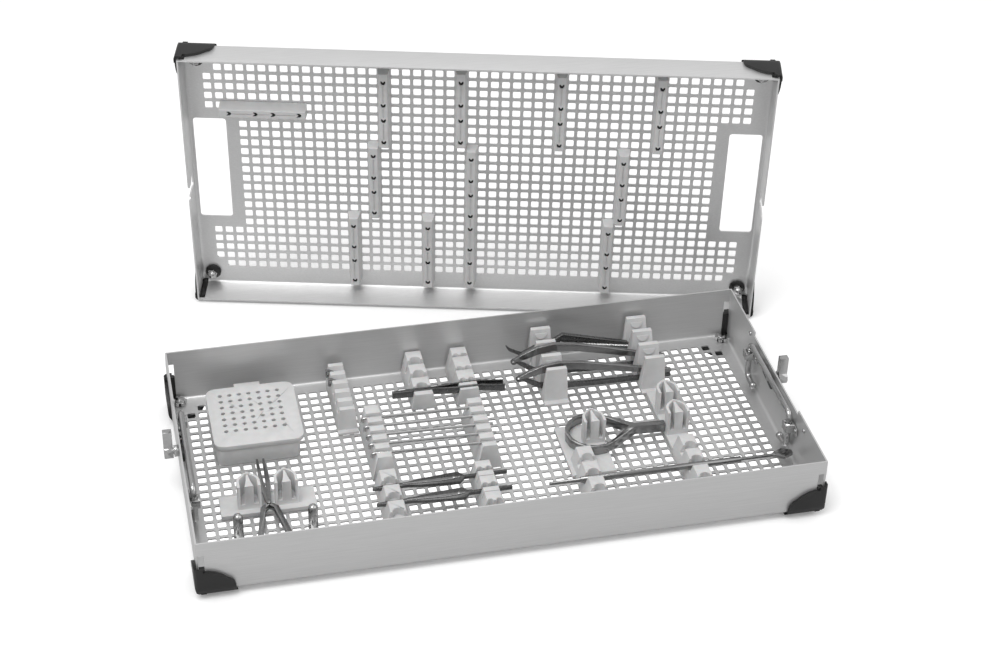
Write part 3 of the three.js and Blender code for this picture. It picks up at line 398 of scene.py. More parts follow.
def flattened(piece: bpy.types.Object) -> bpy.types.Object:
    """Turns a piece with live modifiers into a plain mesh.

    Args:
        piece: an object with modifiers.

    Returns:
        The same object with its evaluated mesh and no modifiers.
    """
    graph = bpy.context.evaluated_depsgraph_get()
    mesh = bpy.data.meshes.new_from_object(piece.evaluated_get(graph))
    piece.modifiers.clear()
    piece.data = mesh
    return piece


def add_bevel(piece: bpy.types.Object, width: float, segments: int, angle: float) -> None:
    """Rounds a piece's sharp edges.

    Args:
        piece: the object.
        width: the bevel's width in metres.
        segments: how many faces it has across.
        angle: edges sharper than this are rounded, in degrees.
    """
    bevel = piece.modifiers.new("round", "BEVEL")
    bevel.width = width
    bevel.segments = segments
    bevel.limit_method = "ANGLE"
    bevel.angle_limit = math.radians(angle)
    bevel.use_clamp_overlap = True
    bevel.harden_normals = True
    piece.data.shade_smooth()


def softened(node: str, width: float, segments: int = 2, angle: float = 35.0) -> bpy.types.Object:
    """A copy of a CAD node with merged faces and rounded edges.

    Args:
        node: the CAD node.
        width: the rounding's width in metres.
        segments: faces across the rounding.
        angle: edges sharper than this are rounded, in degrees.

    Returns:
        The new object, named after the node.
    """
    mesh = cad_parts[node].data.copy()
    draft = bmesh.new()
    draft.from_mesh(mesh)
    bmesh.ops.remove_doubles(draft, verts=draft.verts, dist=0.002 * MM)
    bmesh.ops.dissolve_limit(draft, angle_limit=math.radians(2), verts=draft.verts, edges=draft.edges)
    bmesh.ops.triangulate(draft, faces=[f for f in draft.faces if len(f.verts) > 4], ngon_method="EAR_CLIP")
    draft.to_mesh(mesh)
    draft.free()
    for name in [layer.name for layer in mesh.uv_layers]:
        mesh.uv_layers.remove(mesh.uv_layers[name])
    piece = new_piece(f"{node}_soft", mesh)
    add_bevel(piece, width, segments, angle)
    return flattened(piece)


class Draft:
    """A mesh in the making, in metres, placed by a matrix at the end."""

    def __init__(self) -> None:
        """Starts an empty mesh."""
        self.bm = bmesh.new()

    def face(self, points: Iterable[Sequence[float]]) -> bmesh.types.BMFace:
        """Adds one face.

        Args:
            points: its corners in order.

        Returns:
            The face.
        """
        return self.bm.faces.new([self.bm.verts.new(p) for p in points])

    def strip(self, rows: Sequence[Sequence[Sequence[float]]]) -> None:
        """Adds the quads between rows of points.

        Args:
            rows: rows of equal length.
        """
        for upper, lower in zip(rows, rows[1:]):
            for i in range(len(upper) - 1):
                self.face((upper[i], upper[i + 1], lower[i + 1], lower[i]))

    def flat(self, loops: Sequence[Sequence[Sequence[float]]]) -> None:
        """Fills a flat outline with holes.

        Args:
            loops: the outline's loop and the loops of its holes.
        """
        edges = []
        for loop in loops:
            verts = [self.bm.verts.new(p) for p in loop]
            edges += [self.bm.edges.new((a, b)) for a, b in zip(verts, verts[1:] + verts[:1])]
        bmesh.ops.triangle_fill(self.bm, edges=edges, use_beauty=True)

    def prism(self, outline: Sequence[Sequence[float]], axis: Axis, low: float, high: float) -> None:
        """Pushes an outline along an axis into a closed solid.

        Args:
            outline: (s, t) corners: (y, z) for X, (x, z) for Y, (x, y) for Z.
            axis: the way it is pushed.
            low: where it starts.
            high: where it ends.
        """
        def at(s: float, t: float, depth: float) -> tuple:
            return {Axis.X: (depth, s, t), Axis.Y: (s, depth, t), Axis.Z: (s, t, depth)}[axis]

        near = [self.bm.verts.new(at(s, t, low)) for s, t in outline]
        far = [self.bm.verts.new(at(s, t, high)) for s, t in outline]
        self.bm.faces.new(near[::-1])
        self.bm.faces.new(far)
        count = len(outline)
        for i in range(count):
            j = (i + 1) % count
            self.bm.faces.new((near[i], near[j], far[j], far[i]))

    def lathe(self, profile: Sequence[Sequence[float]], centre: Sequence[float], sides: int) -> None:
        """Turns a profile about a vertical axis into a closed solid.

        Args:
            profile: (radius, height) pairs from the bottom up; the first and last close on the axis.
            centre: the axis's place, with the profile's zero height.
            sides: how many sides it has.
        """
        rings = []
        for radius, height in profile:
            if radius == 0:
                rings.append([self.bm.verts.new((centre[0], centre[1], centre[2] + height))])
                continue
            angles = [2 * math.pi * i / sides for i in range(sides)]
            rings.append([
                self.bm.verts.new((
                    centre[0] + radius * math.cos(a),
                    centre[1] + radius * math.sin(a),
                    centre[2] + height,
                ))
                for a in angles
            ])
        for lower, upper in zip(rings, rings[1:]):
            for i in range(sides):
                j = (i + 1) % sides
                corners = [lower[i % len(lower)], lower[j % len(lower)]]
                corners += [upper[j % len(upper)], upper[i % len(upper)]]
                self.bm.faces.new(list(dict.fromkeys(corners)))

    def take(self, other: "Draft", place: Matrix) -> None:
        """Takes in another mesh, which is used up.

        Args:
            other: the other mesh.
            place: the matrix from its frame to this one's.
        """
        bmesh.ops.remove_doubles(other.bm, verts=other.bm.verts, dist=0.01 * MM)
        bmesh.ops.recalc_face_normals(other.bm, faces=other.bm.faces)
        other.bm.transform(place)
        mesh = bpy.data.meshes.new("taken")
        other.bm.to_mesh(mesh)
        other.bm.free()
        self.bm.from_mesh(mesh)
        bpy.data.meshes.remove(mesh)

    def finish(self, name: str, place: Optional[Matrix] = None, up: bool = False) -> bpy.types.Object:
        """Merges doubles, turns the faces outwards and makes the object.

        Args:
            name: the object's name.
            place: the matrix that takes the draft to its place, if any.
            up: for an open sheet, turn its flat floor's faces upwards.

        Returns:
            The object.
        """
        bmesh.ops.remove_doubles(self.bm, verts=self.bm.verts, dist=0.01 * MM)
        bmesh.ops.recalc_face_normals(self.bm, faces=self.bm.faces)
        if up and sum(f.normal.z * f.calc_area() for f in self.bm.faces) < 0:
            bmesh.ops.reverse_faces(self.bm, faces=self.bm.faces)
        if place is not None:
            self.bm.transform(place)
        mesh = bpy.data.meshes.new(name)
        self.bm.to_mesh(mesh)
        self.bm.free()
        return new_piece(name, mesh)


def arc(
    centre: Sequence[float], radius: float, start: float, end: float, steps: int
) -> list[tuple[float, float]]:
    """Points along an arc.

    Args:
        centre: the arc's centre.
        radius: its radius.
        start: the first angle in degrees.
        end: the last angle in degrees.
        steps: how many steps lie between.

    Returns:
        steps + 1 points.
    """
    points = []
    for i in range(steps + 1):
        angle = math.radians(start + (end - start) * i / steps)
        points.append((centre[0] + radius * math.cos(angle), centre[1] + radius * math.sin(angle)))
    return points


def rounded(
    low: Sequence[float], high: Sequence[float], radius: float, steps: int
) -> list[tuple[float, float]]:
    """A rectangle with rounded corners.

    Args:
        low: its lowest corner.
        high: its highest corner.
        radius: the corners' radius.
        steps: steps in each corner.

    Returns:
        The outline.
    """
    points = arc((high[0] - radius, high[1] - radius), radius, 0, 90, steps)
    points += arc((low[0] + radius, high[1] - radius), radius, 90, 180, steps)
    points += arc((low[0] + radius, low[1] + radius), radius, 180, 270, steps)
    points += arc((high[0] - radius, low[1] + radius), radius, 270, 360, steps)
    return points


# Geometry Nodes


class NodeTree:
    """A Geometry Nodes tree in the making."""

    def __init__(self, name: str) -> None:
        """Starts a tree with a geometry input and output.

        Args:
            name: the tree's name.
        """
        self.tree = bpy.data.node_groups.new(name, "GeometryNodeTree")
        self.tree.interface.new_socket("Geometry", in_out="INPUT", socket_type="NodeSocketGeometry")
        self.tree.interface.new_socket("Geometry", in_out="OUTPUT", socket_type="NodeSocketGeometry")
        self.entry = self.tree.nodes.new("NodeGroupInput")
        self.exit = self.tree.nodes.new("NodeGroupOutput")
        self.keys: dict[str, str] = {}

    def knob(self, name: str, kind: str) -> None:
        """Adds a named input.

        Args:
            name: the input's name.
            kind: its socket type, without the leading words.
        """
        socket = self.tree.interface.new_socket(name, in_out="INPUT", socket_type=f"NodeSocket{kind}")
        self.keys[name] = socket.identifier

    def add(self, kind: str, **values: object) -> bpy.types.Node:
        """Adds a node and sets its properties or inputs.

        Args:
            kind: the node's type name.
            values: properties, or inputs with spaces written as underscores.

        Returns:
            The node.
        """
        node = self.tree.nodes.new(kind)
        for key, value in values.items():
            if hasattr(node, key):
                setattr(node, key, value)
            elif isinstance(value, bpy.types.NodeSocket):
                self.tree.links.new(value, node.inputs[key.replace("_", " ")])
            else:
                node.inputs[key.replace("_", " ")].default_value = value
        return node

    def math(self, operation: str, first: object, second: object) -> bpy.types.NodeSocket:
        """A sum, product, comparison or the like.

        Args:
            operation: the operation's name.
            first: a socket or a number.
            second: a socket or a number.

        Returns:
            The result.
        """
        node = self.add("ShaderNodeMath", operation=operation)
        for socket, value in zip(node.inputs, (first, second)):
            if isinstance(value, bpy.types.NodeSocket):
                self.tree.links.new(value, socket)
            else:
                socket.default_value = value
        return node.outputs["Value"]

    def get(self, name: str) -> bpy.types.NodeSocket:
        """The socket of a named input."""
        return self.entry.outputs[name]

    def close(self, last: bpy.types.NodeSocket) -> "NodeTree":
        """Realizes instances, sets the material and joins the output.

        Args:
            last: the geometry so far.

        Returns:
            The tree.
        """
        real = self.add("GeometryNodeRealizeInstances", Geometry=last)
        paint = self.add(
            "GeometryNodeSetMaterial", Geometry=real.outputs["Geometry"], Material=self.get("Material")
        )
        self.tree.links.new(paint.outputs["Geometry"], self.exit.inputs["Geometry"])
        return self

    def run(self, piece: bpy.types.Object, **values: object) -> bpy.types.Object:
        """Applies the tree to an object and keeps the result as its plain mesh.

        Args:
            piece: the object whose mesh goes in.
            values: the named inputs, with spaces written as underscores.

        Returns:
            The same object.
        """
        modifier = piece.modifiers.new(self.tree.name, "NODES")
        modifier.node_group = self.tree
        for key, value in values.items():
            modifier[self.keys[key.replace("_", " ")]] = value
        piece.update_tag()
        return flattened(piece)


def perforation_tree() -> NodeTree:
    """A tree that repeats one punched cell over a field, leaving out corners and side bays.

    Returns:
        The tree.
    """
    tree = NodeTree("perforation")
    for name, kind in (
        ("Columns", "Int"), ("Rows", "Int"), ("Pitch X", "Float"), ("Pitch Y", "Float"),
        ("Corner X", "Float"), ("Corner Y", "Float"), ("Bay X", "Float"), ("Bay Y", "Float"),
        ("Material", "Material"),
    ):
        tree.knob(name, kind)
    columns = tree.get("Columns")
    rows = tree.get("Rows")
    size_x = tree.math("MULTIPLY", tree.get("Pitch X"), tree.math("SUBTRACT", columns, 1))
    size_y = tree.math("MULTIPLY", tree.get("Pitch Y"), tree.math("SUBTRACT", rows, 1))
    grid = tree.add("GeometryNodeMeshGrid", Size_X=size_x, Size_Y=size_y, Vertices_X=columns, Vertices_Y=rows)
    position = tree.add("GeometryNodeInputPosition")
    split = tree.add("ShaderNodeSeparateXYZ", Vector=position.outputs["Position"])
    x = tree.math("ABSOLUTE", split.outputs["X"], 0.0)
    y = tree.math("ABSOLUTE", split.outputs["Y"], 0.0)
    corner_x = tree.math("GREATER_THAN", x, tree.get("Corner X"))
    corner_y = tree.math("GREATER_THAN", y, tree.get("Corner Y"))
    bay_x = tree.math("GREATER_THAN", x, tree.get("Bay X"))
    bay_y = tree.math("LESS_THAN", y, tree.get("Bay Y"))
    corner = tree.math("MULTIPLY", corner_x, corner_y)
    bay = tree.math("MULTIPLY", bay_x, bay_y)
    left_out = tree.math("MAXIMUM", corner, bay)
    kept = tree.add("GeometryNodeDeleteGeometry", Geometry=grid.outputs["Mesh"], Selection=left_out)
    cells = tree.add(
        "GeometryNodeInstanceOnPoints", Points=kept.outputs["Geometry"], Instance=tree.get("Geometry")
    )
    real = tree.add("GeometryNodeRealizeInstances", Geometry=cells.outputs["Instances"])
    merged = tree.add("GeometryNodeMergeByDistance", Geometry=real.outputs["Geometry"], Distance=0.01 * MM)
    return tree.close(merged.outputs["Geometry"])


def wire_tree() -> NodeTree:
    """A tree that makes round wire along a chain of edges.

    Returns:
        The tree.
    """
    tree = NodeTree("wire")
    for name, kind in (("Radius", "Float"), ("Sides", "Int"), ("Material", "Material")):
        tree.knob(name, kind)
    line = tree.add("GeometryNodeMeshToCurve", Mesh=tree.get("Geometry"))
    ring = tree.add(
        "GeometryNodeCurvePrimitiveCircle", Radius=tree.get("Radius"), Resolution=tree.get("Sides")
    )
    tube = tree.add(
        "GeometryNodeCurveToMesh",
        Curve=line.outputs["Curve"],
        Profile_Curve=ring.outputs["Curve"],
        Fill_Caps=True,
    )
    smooth = tree.add("GeometryNodeSetShadeSmooth", Geometry=tube.outputs["Mesh"])
    return tree.close(smooth.outputs["Geometry"])


def fastener_tree() -> NodeTree:
    """A tree that sets a fastener on each point, its top facing one way.

    Returns:
        The tree.
    """
    tree = NodeTree("fasteners")
    for name, kind in (("Item", "Object"), ("Facing", "Vector"), ("Material", "Material")):
        tree.knob(name, kind)
    item = tree.add("GeometryNodeObjectInfo", Object=tree.get("Item"))
    turn = tree.add("FunctionNodeAlignRotationToVector", axis="Z", Vector=tree.get("Facing"))
    placed = tree.add(
        "GeometryNodeInstanceOnPoints",
        Points=tree.get("Geometry"),
        Instance=item.outputs["Geometry"],
        Rotation=turn.outputs["Rotation"],
    )
    return tree.close(placed.outputs["Instances"])


# Places


def tray_place() -> Matrix:
    """The tray's own frame: its middle, with zero height on top of the floor.

    Returns:
        The matrix from the tray's frame to the row frame.
    """
    low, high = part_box("base_tray")
    return Matrix.Translation(((low.x + high.x) / 2, (low.y + high.y) / 2, low.z + SHEET))


def lid_place(yaw: float, lean: float, flange: float) -> Matrix:
    """The standing lid's own frame: X along it, Y up it, Z out of its inside.

    Args:
        yaw: how far it is turned about Z, in degrees.
        lean: how far it leans forwards, in degrees.
        flange: how far its flange stands out of the sheet.

    Returns:
        The matrix from the lid's frame to the row frame.
    """
    turn = Matrix.Rotation(math.radians(yaw), 4, "Z") @ Matrix.Rotation(math.radians(90 + lean), 4, "X")
    back = turn.to_3x3().transposed()
    points = [back @ v.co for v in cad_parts["lid_tray"].data.vertices]
    low = [min(p[i] for p in points) for i in range(3)]
    high = [max(p[i] for p in points) for i in range(3)]
    origin = Vector(((low[0] + high[0]) / 2, (low[1] + high[1]) / 2, high[2] - flange))
    return Matrix.Translation(turn @ origin) @ turn


def hole_x(column: float) -> float:
    """Where a column of holes lies across the tray."""
    return (column - (COLUMNS - 1) / 2) * PITCH


def hole_y(row: float) -> float:
    """Where a row of holes lies, counted from the back."""
    return ((ROWS - 1) / 2 - row) * PITCH


# Tray and lid


@dataclass
class PunchedPan:
    """A folded pan of punched sheet: its inner half sizes, walls and what is cut out of it."""

    name: str
    body: Body
    place: Matrix
    half_x: float
    half_y: float
    wall: float
    slit_top: float
    finish: BrushedSteel
    bend: float = 2.8 * MM
    slit: float = 4.8 * MM
    recess_half: float = 0.0
    recess: float = 0.0
    bay_columns: int = 0
    bay_row: int = 0
    window_high: float = 0.0
    window_low: float = 0.0
    window_depth: float = 0.0
    hook: bool = False
    bend_steps: int = 4

    def cell(self) -> bpy.types.Object:
        """One punched cell: a square of sheet round a hole with rounded corners.

        Returns:
            The cell's object, in the pan's frame at zero.
        """
        draft = Draft()
        half = PITCH / 2
        inner = rounded((-HOLE / 2, -HOLE / 2), (HOLE / 2, HOLE / 2), 0.9 * MM, 2)
        corners = [(half, half), (-half, half), (-half, -half), (half, -half)]
        for z in (0.0, -SHEET):
            for side in range(4):
                loop = [(*p, z) for p in inner[side * 3:side * 3 + 3]]
                corner = (*corners[side], z)
                for a, b in zip(loop, loop[1:]):
                    draft.face((corner, b, a) if z == 0 else (corner, a, b))
                after = (*inner[(side * 3 + 3) % len(inner)], z)
                following = (*corners[(side + 1) % 4], z)
                quad = (corner, following, after, loop[-1])
                draft.face(quad if z == 0 else quad[::-1])
        for a, b in zip(inner, inner[1:] + inner[:1]):
            draft.face(((*a, 0.0), (*b, 0.0), (*b, -SHEET), (*a, -SHEET)))
        bmesh.ops.remove_doubles(draft.bm, verts=draft.bm.verts, dist=0.001 * MM)
        mesh = bpy.data.meshes.new("cell")
        draft.bm.to_mesh(mesh)
        draft.bm.free()
        return new_piece("cell", mesh)

    def field(self) -> bpy.types.Object:
        """The punched field, made by the perforation tree.

        Returns:
            The field's object.
        """
        bay_x = (COLUMNS / 2 - self.bay_columns) * PITCH if self.bay_columns else self.half_x
        bay_y = (ROWS / 2 - self.bay_row) * PITCH if self.bay_row else 0.0
        return perforation_tree().run(
            self.cell(),
            Columns=COLUMNS,
            Rows=ROWS,
            Pitch_X=PITCH,
            Pitch_Y=PITCH,
            Corner_X=(COLUMNS / 2 - 1) * PITCH,
            Corner_Y=(ROWS / 2 - 1) * PITCH,
            Bay_X=bay_x,
            Bay_Y=bay_y,
            Material=material(self.finish),
        )

    def is_corner(self, x: float, y: float) -> bool:
        """Whether a cell is one of the four that stay unpunched."""
        return abs(x) > (COLUMNS / 2 - 1) * PITCH and abs(y) > (ROWS / 2 - 1) * PITCH

    def in_bay(self, x: float, y: float) -> bool:
        """Whether a place lies in the plain sheet round a window."""
        if not self.bay_columns:
            return False
        beside = abs(x) > (COLUMNS / 2 - self.bay_columns) * PITCH
        return beside and abs(y) < (ROWS / 2 - self.bay_row) * PITCH

    def lines(self) -> tuple[list[float], list[float]]:
        """The lattice of the floor: cell borders, the margins' edges and the slits.

        Returns:
            Places along X and along Y.
        """
        xs = [(i - COLUMNS / 2) * PITCH for i in range(COLUMNS + 1)]
        ys = [(i - ROWS / 2) * PITCH for i in range(ROWS + 1)]
        flat_x = self.half_x - self.bend
        flat_y = self.half_y - self.bend
        xs = [-flat_x, -(self.half_x - self.slit)] + xs + [self.half_x - self.slit, flat_x]
        ys = [-flat_y] + ys + [flat_y]
        if self.recess_half:
            ys = sorted(ys + [-self.recess_half, self.recess_half])
        return sorted(xs), ys

    def floor(self, draft: Draft) -> None:
        """Adds the plain parts of the floor.

        Args:
            draft: the sheet so far.
        """
        xs, ys = self.lines()
        field_x = COLUMNS / 2 * PITCH
        field_y = ROWS / 2 * PITCH
        for x0, x1 in zip(xs, xs[1:]):
            for y0, y1 in zip(ys, ys[1:]):
                x = (x0 + x1) / 2
                y = (y0 + y1) / 2
                punched = abs(x) < field_x and abs(y) < field_y and not self.is_corner(x, y)
                if punched or self.in_bay(x, y):
                    continue
                draft.face(((x0, y0, 0), (x1, y0, 0), (x1, y1, 0), (x0, y1, 0)))
        if self.bay_columns:
            self.bays(draft, xs, ys)

    def bays(self, draft: Draft, xs: Sequence[float], ys: Sequence[float]) -> None:
        """Adds the plain sheet round each window.

        Args:
            draft: the sheet so far.
            xs: the lattice along X.
            ys: the lattice along Y.
        """
        inner = (COLUMNS / 2 - self.bay_columns) * PITCH
        reach = (ROWS / 2 - self.bay_row) * PITCH
        for side in (-1, 1):
            across = sorted(abs(x) for x in xs if side * x > inner - MM)
            along = sorted(y for y in ys if abs(y) < reach + MM)
            outline = [(side * x, along[0], 0.0) for x in across]
            outline += [(side * across[-1], y, 0.0) for y in along[1:]]
            outline += [(side * x, along[-1], 0.0) for x in reversed(across[:-1])]
            outline += [(side * across[0], y, 0.0) for y in reversed(along[1:-1])]
            near = self.half_x - self.window_depth
            far = self.half_x - self.bend - GAP
            hole = rounded((near, -self.window_low), (far, self.window_high), 2.5 * MM, 3)
            draft.flat((outline, [(side * x, y, 0.0) for x, y in hole]))

    def arc_points(self) -> list[tuple[float, float]]:
        """The bend's inner face as (out, up) from the floor's flat edge.

        Returns:
            Points from the floor to the wall.
        """
        return arc((0, self.bend), self.bend, -90, 0, self.bend_steps)

    def long_walls(self, draft: Draft) -> None:
        """Adds the front and back walls, with their bends, slits and corner tabs.

        Args:
            draft: the sheet so far.
        """
        xs, _ = self.lines()
        slit_x = self.half_x - self.slit
        flat_y = self.half_y - self.bend
        for side in (-1, 1):
            inside = [x for x in xs if abs(x) < slit_x + 0.01 * MM]
            rows = [[(x, side * (flat_y + out), up) for x in inside] for out, up in self.arc_points()]
            rows.append([(x, side * self.half_y, self.slit_top) for x in inside])
            rows.append([(x, side * self.half_y, self.wall) for x in inside])
            draft.strip(rows)
            for end in (-1, 1):
                tab = [end * slit_x, end * (self.half_x - self.bend), end * self.half_x]
                draft.strip([[(x, side * self.half_y, z) for x in tab] for z in (self.slit_top, self.wall)])

    def short_walls(self, draft: Draft) -> None:
        """Adds the end walls, with their bends and the recess or the hook notch.

        Args:
            draft: the sheet so far.
        """
        _, ys = self.lines()
        flat_x = self.half_x - self.bend
        for side in (-1, 1):
            draft.strip([[(side * (flat_x + out), y, up) for y in ys] for out, up in self.arc_points()])
            x = side * self.half_x
            if self.hook:
                draft.flat(([(x, y, z) for y, z in self.hooked_outline(ys)],))
                continue
            whole = [-self.half_y] + ys + [self.half_y]
            levels = [self.bend, self.slit_top, self.wall - self.recess, self.wall]
            for z0, z1 in zip(levels, levels[1:]):
                for y0, y1 in zip(whole, whole[1:]):
                    if z1 > self.wall - self.recess + MM and abs(y0 + y1) / 2 < self.recess_half:
                        continue
                    draft.face(((x, y0, z0), (x, y1, z0), (x, y1, z1), (x, y0, z1)))

    def hooked_outline(self, ys: Sequence[float]) -> list[tuple[float, float]]:
        """A side flange's outline, with the hook notch in its lip.

        Args:
            ys: the places of its lower edge's corners.

        Returns:
            (y, z) corners.
        """
        middle = -9 * MM
        mouth = 7.5 * MM
        neck = 4 * MM
        step = 4 * MM
        end = 5 * MM
        top = self.wall
        points = [(y, self.bend) for y in ys]
        points += [(self.half_y, self.bend), (self.half_y, self.slit_top), (self.half_y, top)]
        notch = arc((neck + mouth * 0.6, top - mouth * 0.6), mouth * 0.6, 90, 180, 4)
        notch += [(neck, end + 2 * neck)]
        notch += arc((neck - step, end + neck), neck, 0, -90, 4)
        notch += arc((-step - neck * 0.5, end + neck * 0.5), neck * 0.5, -90, -180, 3)
        notch += arc((-step - neck * 0.5, end + neck * 1.6), neck * 0.5, 180, 90, 3)
        notch += [(-neck, end + 2 * neck + step)]
        notch += arc((-neck - mouth * 0.6, top - mouth * 0.6), mouth * 0.6, 0, 90, 4)
        points += [(middle - across, up) for across, up in reversed(notch)]
        points += [(-self.half_y, top), (-self.half_y, self.slit_top), (-self.half_y, self.bend)]
        return points

    def surround(self) -> bpy.types.Object:
        """The plain sheet round the field, bent up into walls and given its thickness.

        Returns:
            The object, open where the field joins it.
        """
        draft = Draft()
        self.floor(draft)
        self.long_walls(draft)
        self.short_walls(draft)
        piece = draft.finish(f"{self.name}_surround", up=True)
        wall = piece.modifiers.new("wall", "SOLIDIFY")
        wall.thickness = SHEET
        wall.offset = -1
        wall.use_even_offset = True
        return flattened(piece)

    def build(self, node: str) -> bpy.types.Object:
        """Makes the whole pan as one piece.

        Args:
            node: the CAD node that it replaces.

        Returns:
            The piece.
        """
        draft = bmesh.new()
        for part in (self.surround(), self.field()):
            draft.from_mesh(part.data)
            bpy.data.objects.remove(part)
        bmesh.ops.remove_doubles(draft, verts=draft.verts, dist=0.005 * MM)
        seams = [f for f in draft.faces if self.on_seam(f)]
        bmesh.ops.delete(draft, geom=seams, context="FACES_ONLY")
        draft.transform(self.place)
        mesh = bpy.data.meshes.new(self.name)
        draft.to_mesh(mesh)
        draft.free()
        piece = new_piece(self.name, mesh)
        mesh.shade_smooth()
        mesh.set_sharp_from_angle(angle=math.radians(30))
        return present(piece, self.finish, self.body.value, Slot.STEEL, node)

    def on_seam(self, face: bmesh.types.BMFace) -> bool:
        """Whether a face is the surround's edge against a punched cell."""
        if abs(face.normal.z) > 0.1 or len(face.verts) != 4:
            return False
        if abs(face.calc_center_median().z + SHEET / 2) >= 0.01 * MM:
            return False
        level = [edge for edge in face.edges if abs(edge.verts[0].co.z - edge.verts[1].co.z) < MM / 10]
        return all(len(edge.link_faces) > 2 for edge in level)


@dataclass
class CornerGuards:
    """The moulded guards of one pan."""

    prefix: str
    body: Body
    edge: float = 2.6 * MM

    def build(self) -> None:
        """Makes the four guards."""
        for end in ("front", "back"):
            for side in ("left", "right"):
                node = f"{self.prefix}_{end}_{side}"
                present(softened(node, self.edge, 5), GUARD, self.body.value, Slot.GUARD, node)


@dataclass
class StarNuts:
    """Bright nuts with rounded lobes on the studs of the base guards."""

    place: Matrix
    inset: float = 8 * MM
    half_x: float = 241.2 * MM
    half_y: float = 118.5 * MM
    radius: float = 6.0 * MM
    height: float = 4.4 * MM
    lobes: int = 6

    def nut(self) -> bpy.types.Object:
        """One nut, standing on its foot at zero.

        Returns:
            The nut's object.
        """
        draft = Draft()
        outline = []
        for i in range(self.lobes * 6):
            angle = 2 * math.pi * i / (self.lobes * 6)
            reach = self.radius * (0.88 + 0.12 * math.cos(self.lobes * angle))
            outline.append((reach * math.cos(angle), reach * math.sin(angle)))
        draft.prism(outline, Axis.Z, 0.0, self.height * 0.75)
        draft.lathe(
            [(0, 0.0), (self.radius * 0.55, 0.0), (self.radius * 0.55, self.height * 0.9),
             (self.radius * 0.4, self.height), (0, self.height)],
            (0, 0, 0),
            20,
        )
        return draft.finish("nut")

    def build(self) -> None:
        """Sets the nuts on the tray's floor."""
        nut = self.nut()
        draft = Draft()
        for side_x in (-1, 1):
            for side_y in (-1, 1):
                x = side_x * (self.half_x - self.inset)
                y = side_y * (self.half_y - self.inset)
                draft.bm.verts.new((x, y, GAP))
        points = draft.finish("guard_nuts", self.place)
        piece = fastener_tree().run(points, Item=nut, Facing=(0.0, 0.0, 1.0), Material=material(CHROME))
        bpy.data.objects.remove(nut)
        add_bevel(piece, 0.3 * MM, 2, 40)
        present(flattened(piece), CHROME, Body.TRAY.value, Slot.CHROME)


@dataclass
class Bails:
    """The two wire handles."""

    place: Matrix
    inset: float = 4.2 * MM
    half_x: float = 240 * MM
    half: float = 49 * MM
    radius: float = 2.4 * MM
    grip: float = 40 * MM
    foot: float = 7 * MM
    foot_length: float = 15 * MM
    bend: float = 6 * MM
    ball: float = 3.2 * MM

    def path(self, x: float) -> list[tuple[float, float, float]]:
        """The wire's centre line.

        Args:
            x: where the handle stands.

        Returns:
            Points from one foot to the other.
        """
        inward = self.half - self.foot_length
        right = [(inward, self.foot)]
        right += arc((self.half - self.bend, self.foot + self.bend), self.bend, -90, 0, 8)
        right += arc((self.half - self.bend, self.grip - self.bend), self.bend, 0, 90, 8)
        line = right + [(-y, z) for y, z in reversed(right)]
        return [(x, y, z) for y, z in line]

    def build(self) -> None:
        """Makes both handles."""
        tree = wire_tree()
        for name, side in (("left", -1), ("right", 1)):
            x = side * (self.half_x - self.inset)
            draft = Draft()
            verts = [draft.bm.verts.new(p) for p in self.path(x)]
            for a, b in zip(verts, verts[1:]):
                draft.bm.edges.new((a, b))
            line = draft.finish(f"handle_{name}_wire", self.place)
            tree.run(line, Radius=self.radius, Sides=16, Material=material(CHROME))
            present(line, CHROME, f"bail_{name}", Slot.CHROME, f"handle_{name}")
            self.feet(name, x)

    def feet(self, name: str, x: float) -> None:
        """Adds the round ends of a handle.

        Args:
            name: left or right.
            x: where the handle stands.
        """
        draft = Draft()
        inward = self.half - self.foot_length
        profile = [(0, -self.ball)]
        profile += [(self.ball * math.cos(a), self.ball * math.sin(a)) for a in
                    [math.radians(-60 + 20 * i) for i in range(7)]]
        profile += [(0, self.ball)]
        for y in (-inward, inward):
            draft.lathe(profile, (x, y, self.foot), 16)
        piece = draft.finish(f"handle_{name}_feet", self.place)
        piece.data.shade_smooth()
        present(piece, CHROME, f"bail_{name}", Slot.CHROME)


def screw_head(name: str, radius: float, height: float) -> bpy.types.Object:
    """A low domed screw head with a straight slot, standing on its foot at zero.

    Args:
        name: the object's name.
        radius: the head's radius.
        height: how far it stands out.

    Returns:
        The head.
    """
    draft = Draft()
    dome = [(0, 0.0), (radius, 0.0), (radius, height * 0.45), (radius * 0.86, height * 0.8)]
    draft.lathe(dome + [(radius * 0.5, height), (0, height)], (0, 0, 0), 18)
    slot = radius * 0.16
    for side in (-1, 1):
        low, high = sorted((side * slot, side * radius * 0.8))
        draft.prism([(-radius * 0.5, low), (radius * 0.5, low), (radius * 0.3, high), (-radius * 0.3, high)],
                    Axis.Z, height * 0.9, height * 1.15)
    return draft.finish(name)


def acorn_head(name: str, radius: float) -> bpy.types.Object:
    """A six-sided nut with a domed cap, standing on its foot at zero.

    Args:
        name: the object's name.
        radius: the nut's radius over its corners.

    Returns:
        The nut.
    """
    draft = Draft()
    angles = [math.radians(60 * i) for i in range(6)]
    hexagon = [(radius * math.cos(angle), radius * math.sin(angle)) for angle in angles]
    draft.prism(hexagon, Axis.Z, 0.0, radius * 0.6)
    dome = arc((0, radius * 0.55), radius * 0.8, 0, 90, 6)
    skirt = [(0, radius * 0.3), (radius * 0.8, radius * 0.3)]
    draft.lathe(skirt + dome[:-1] + [(0, radius * 1.35)], (0, 0, 0), 18)
    return draft.finish(name)


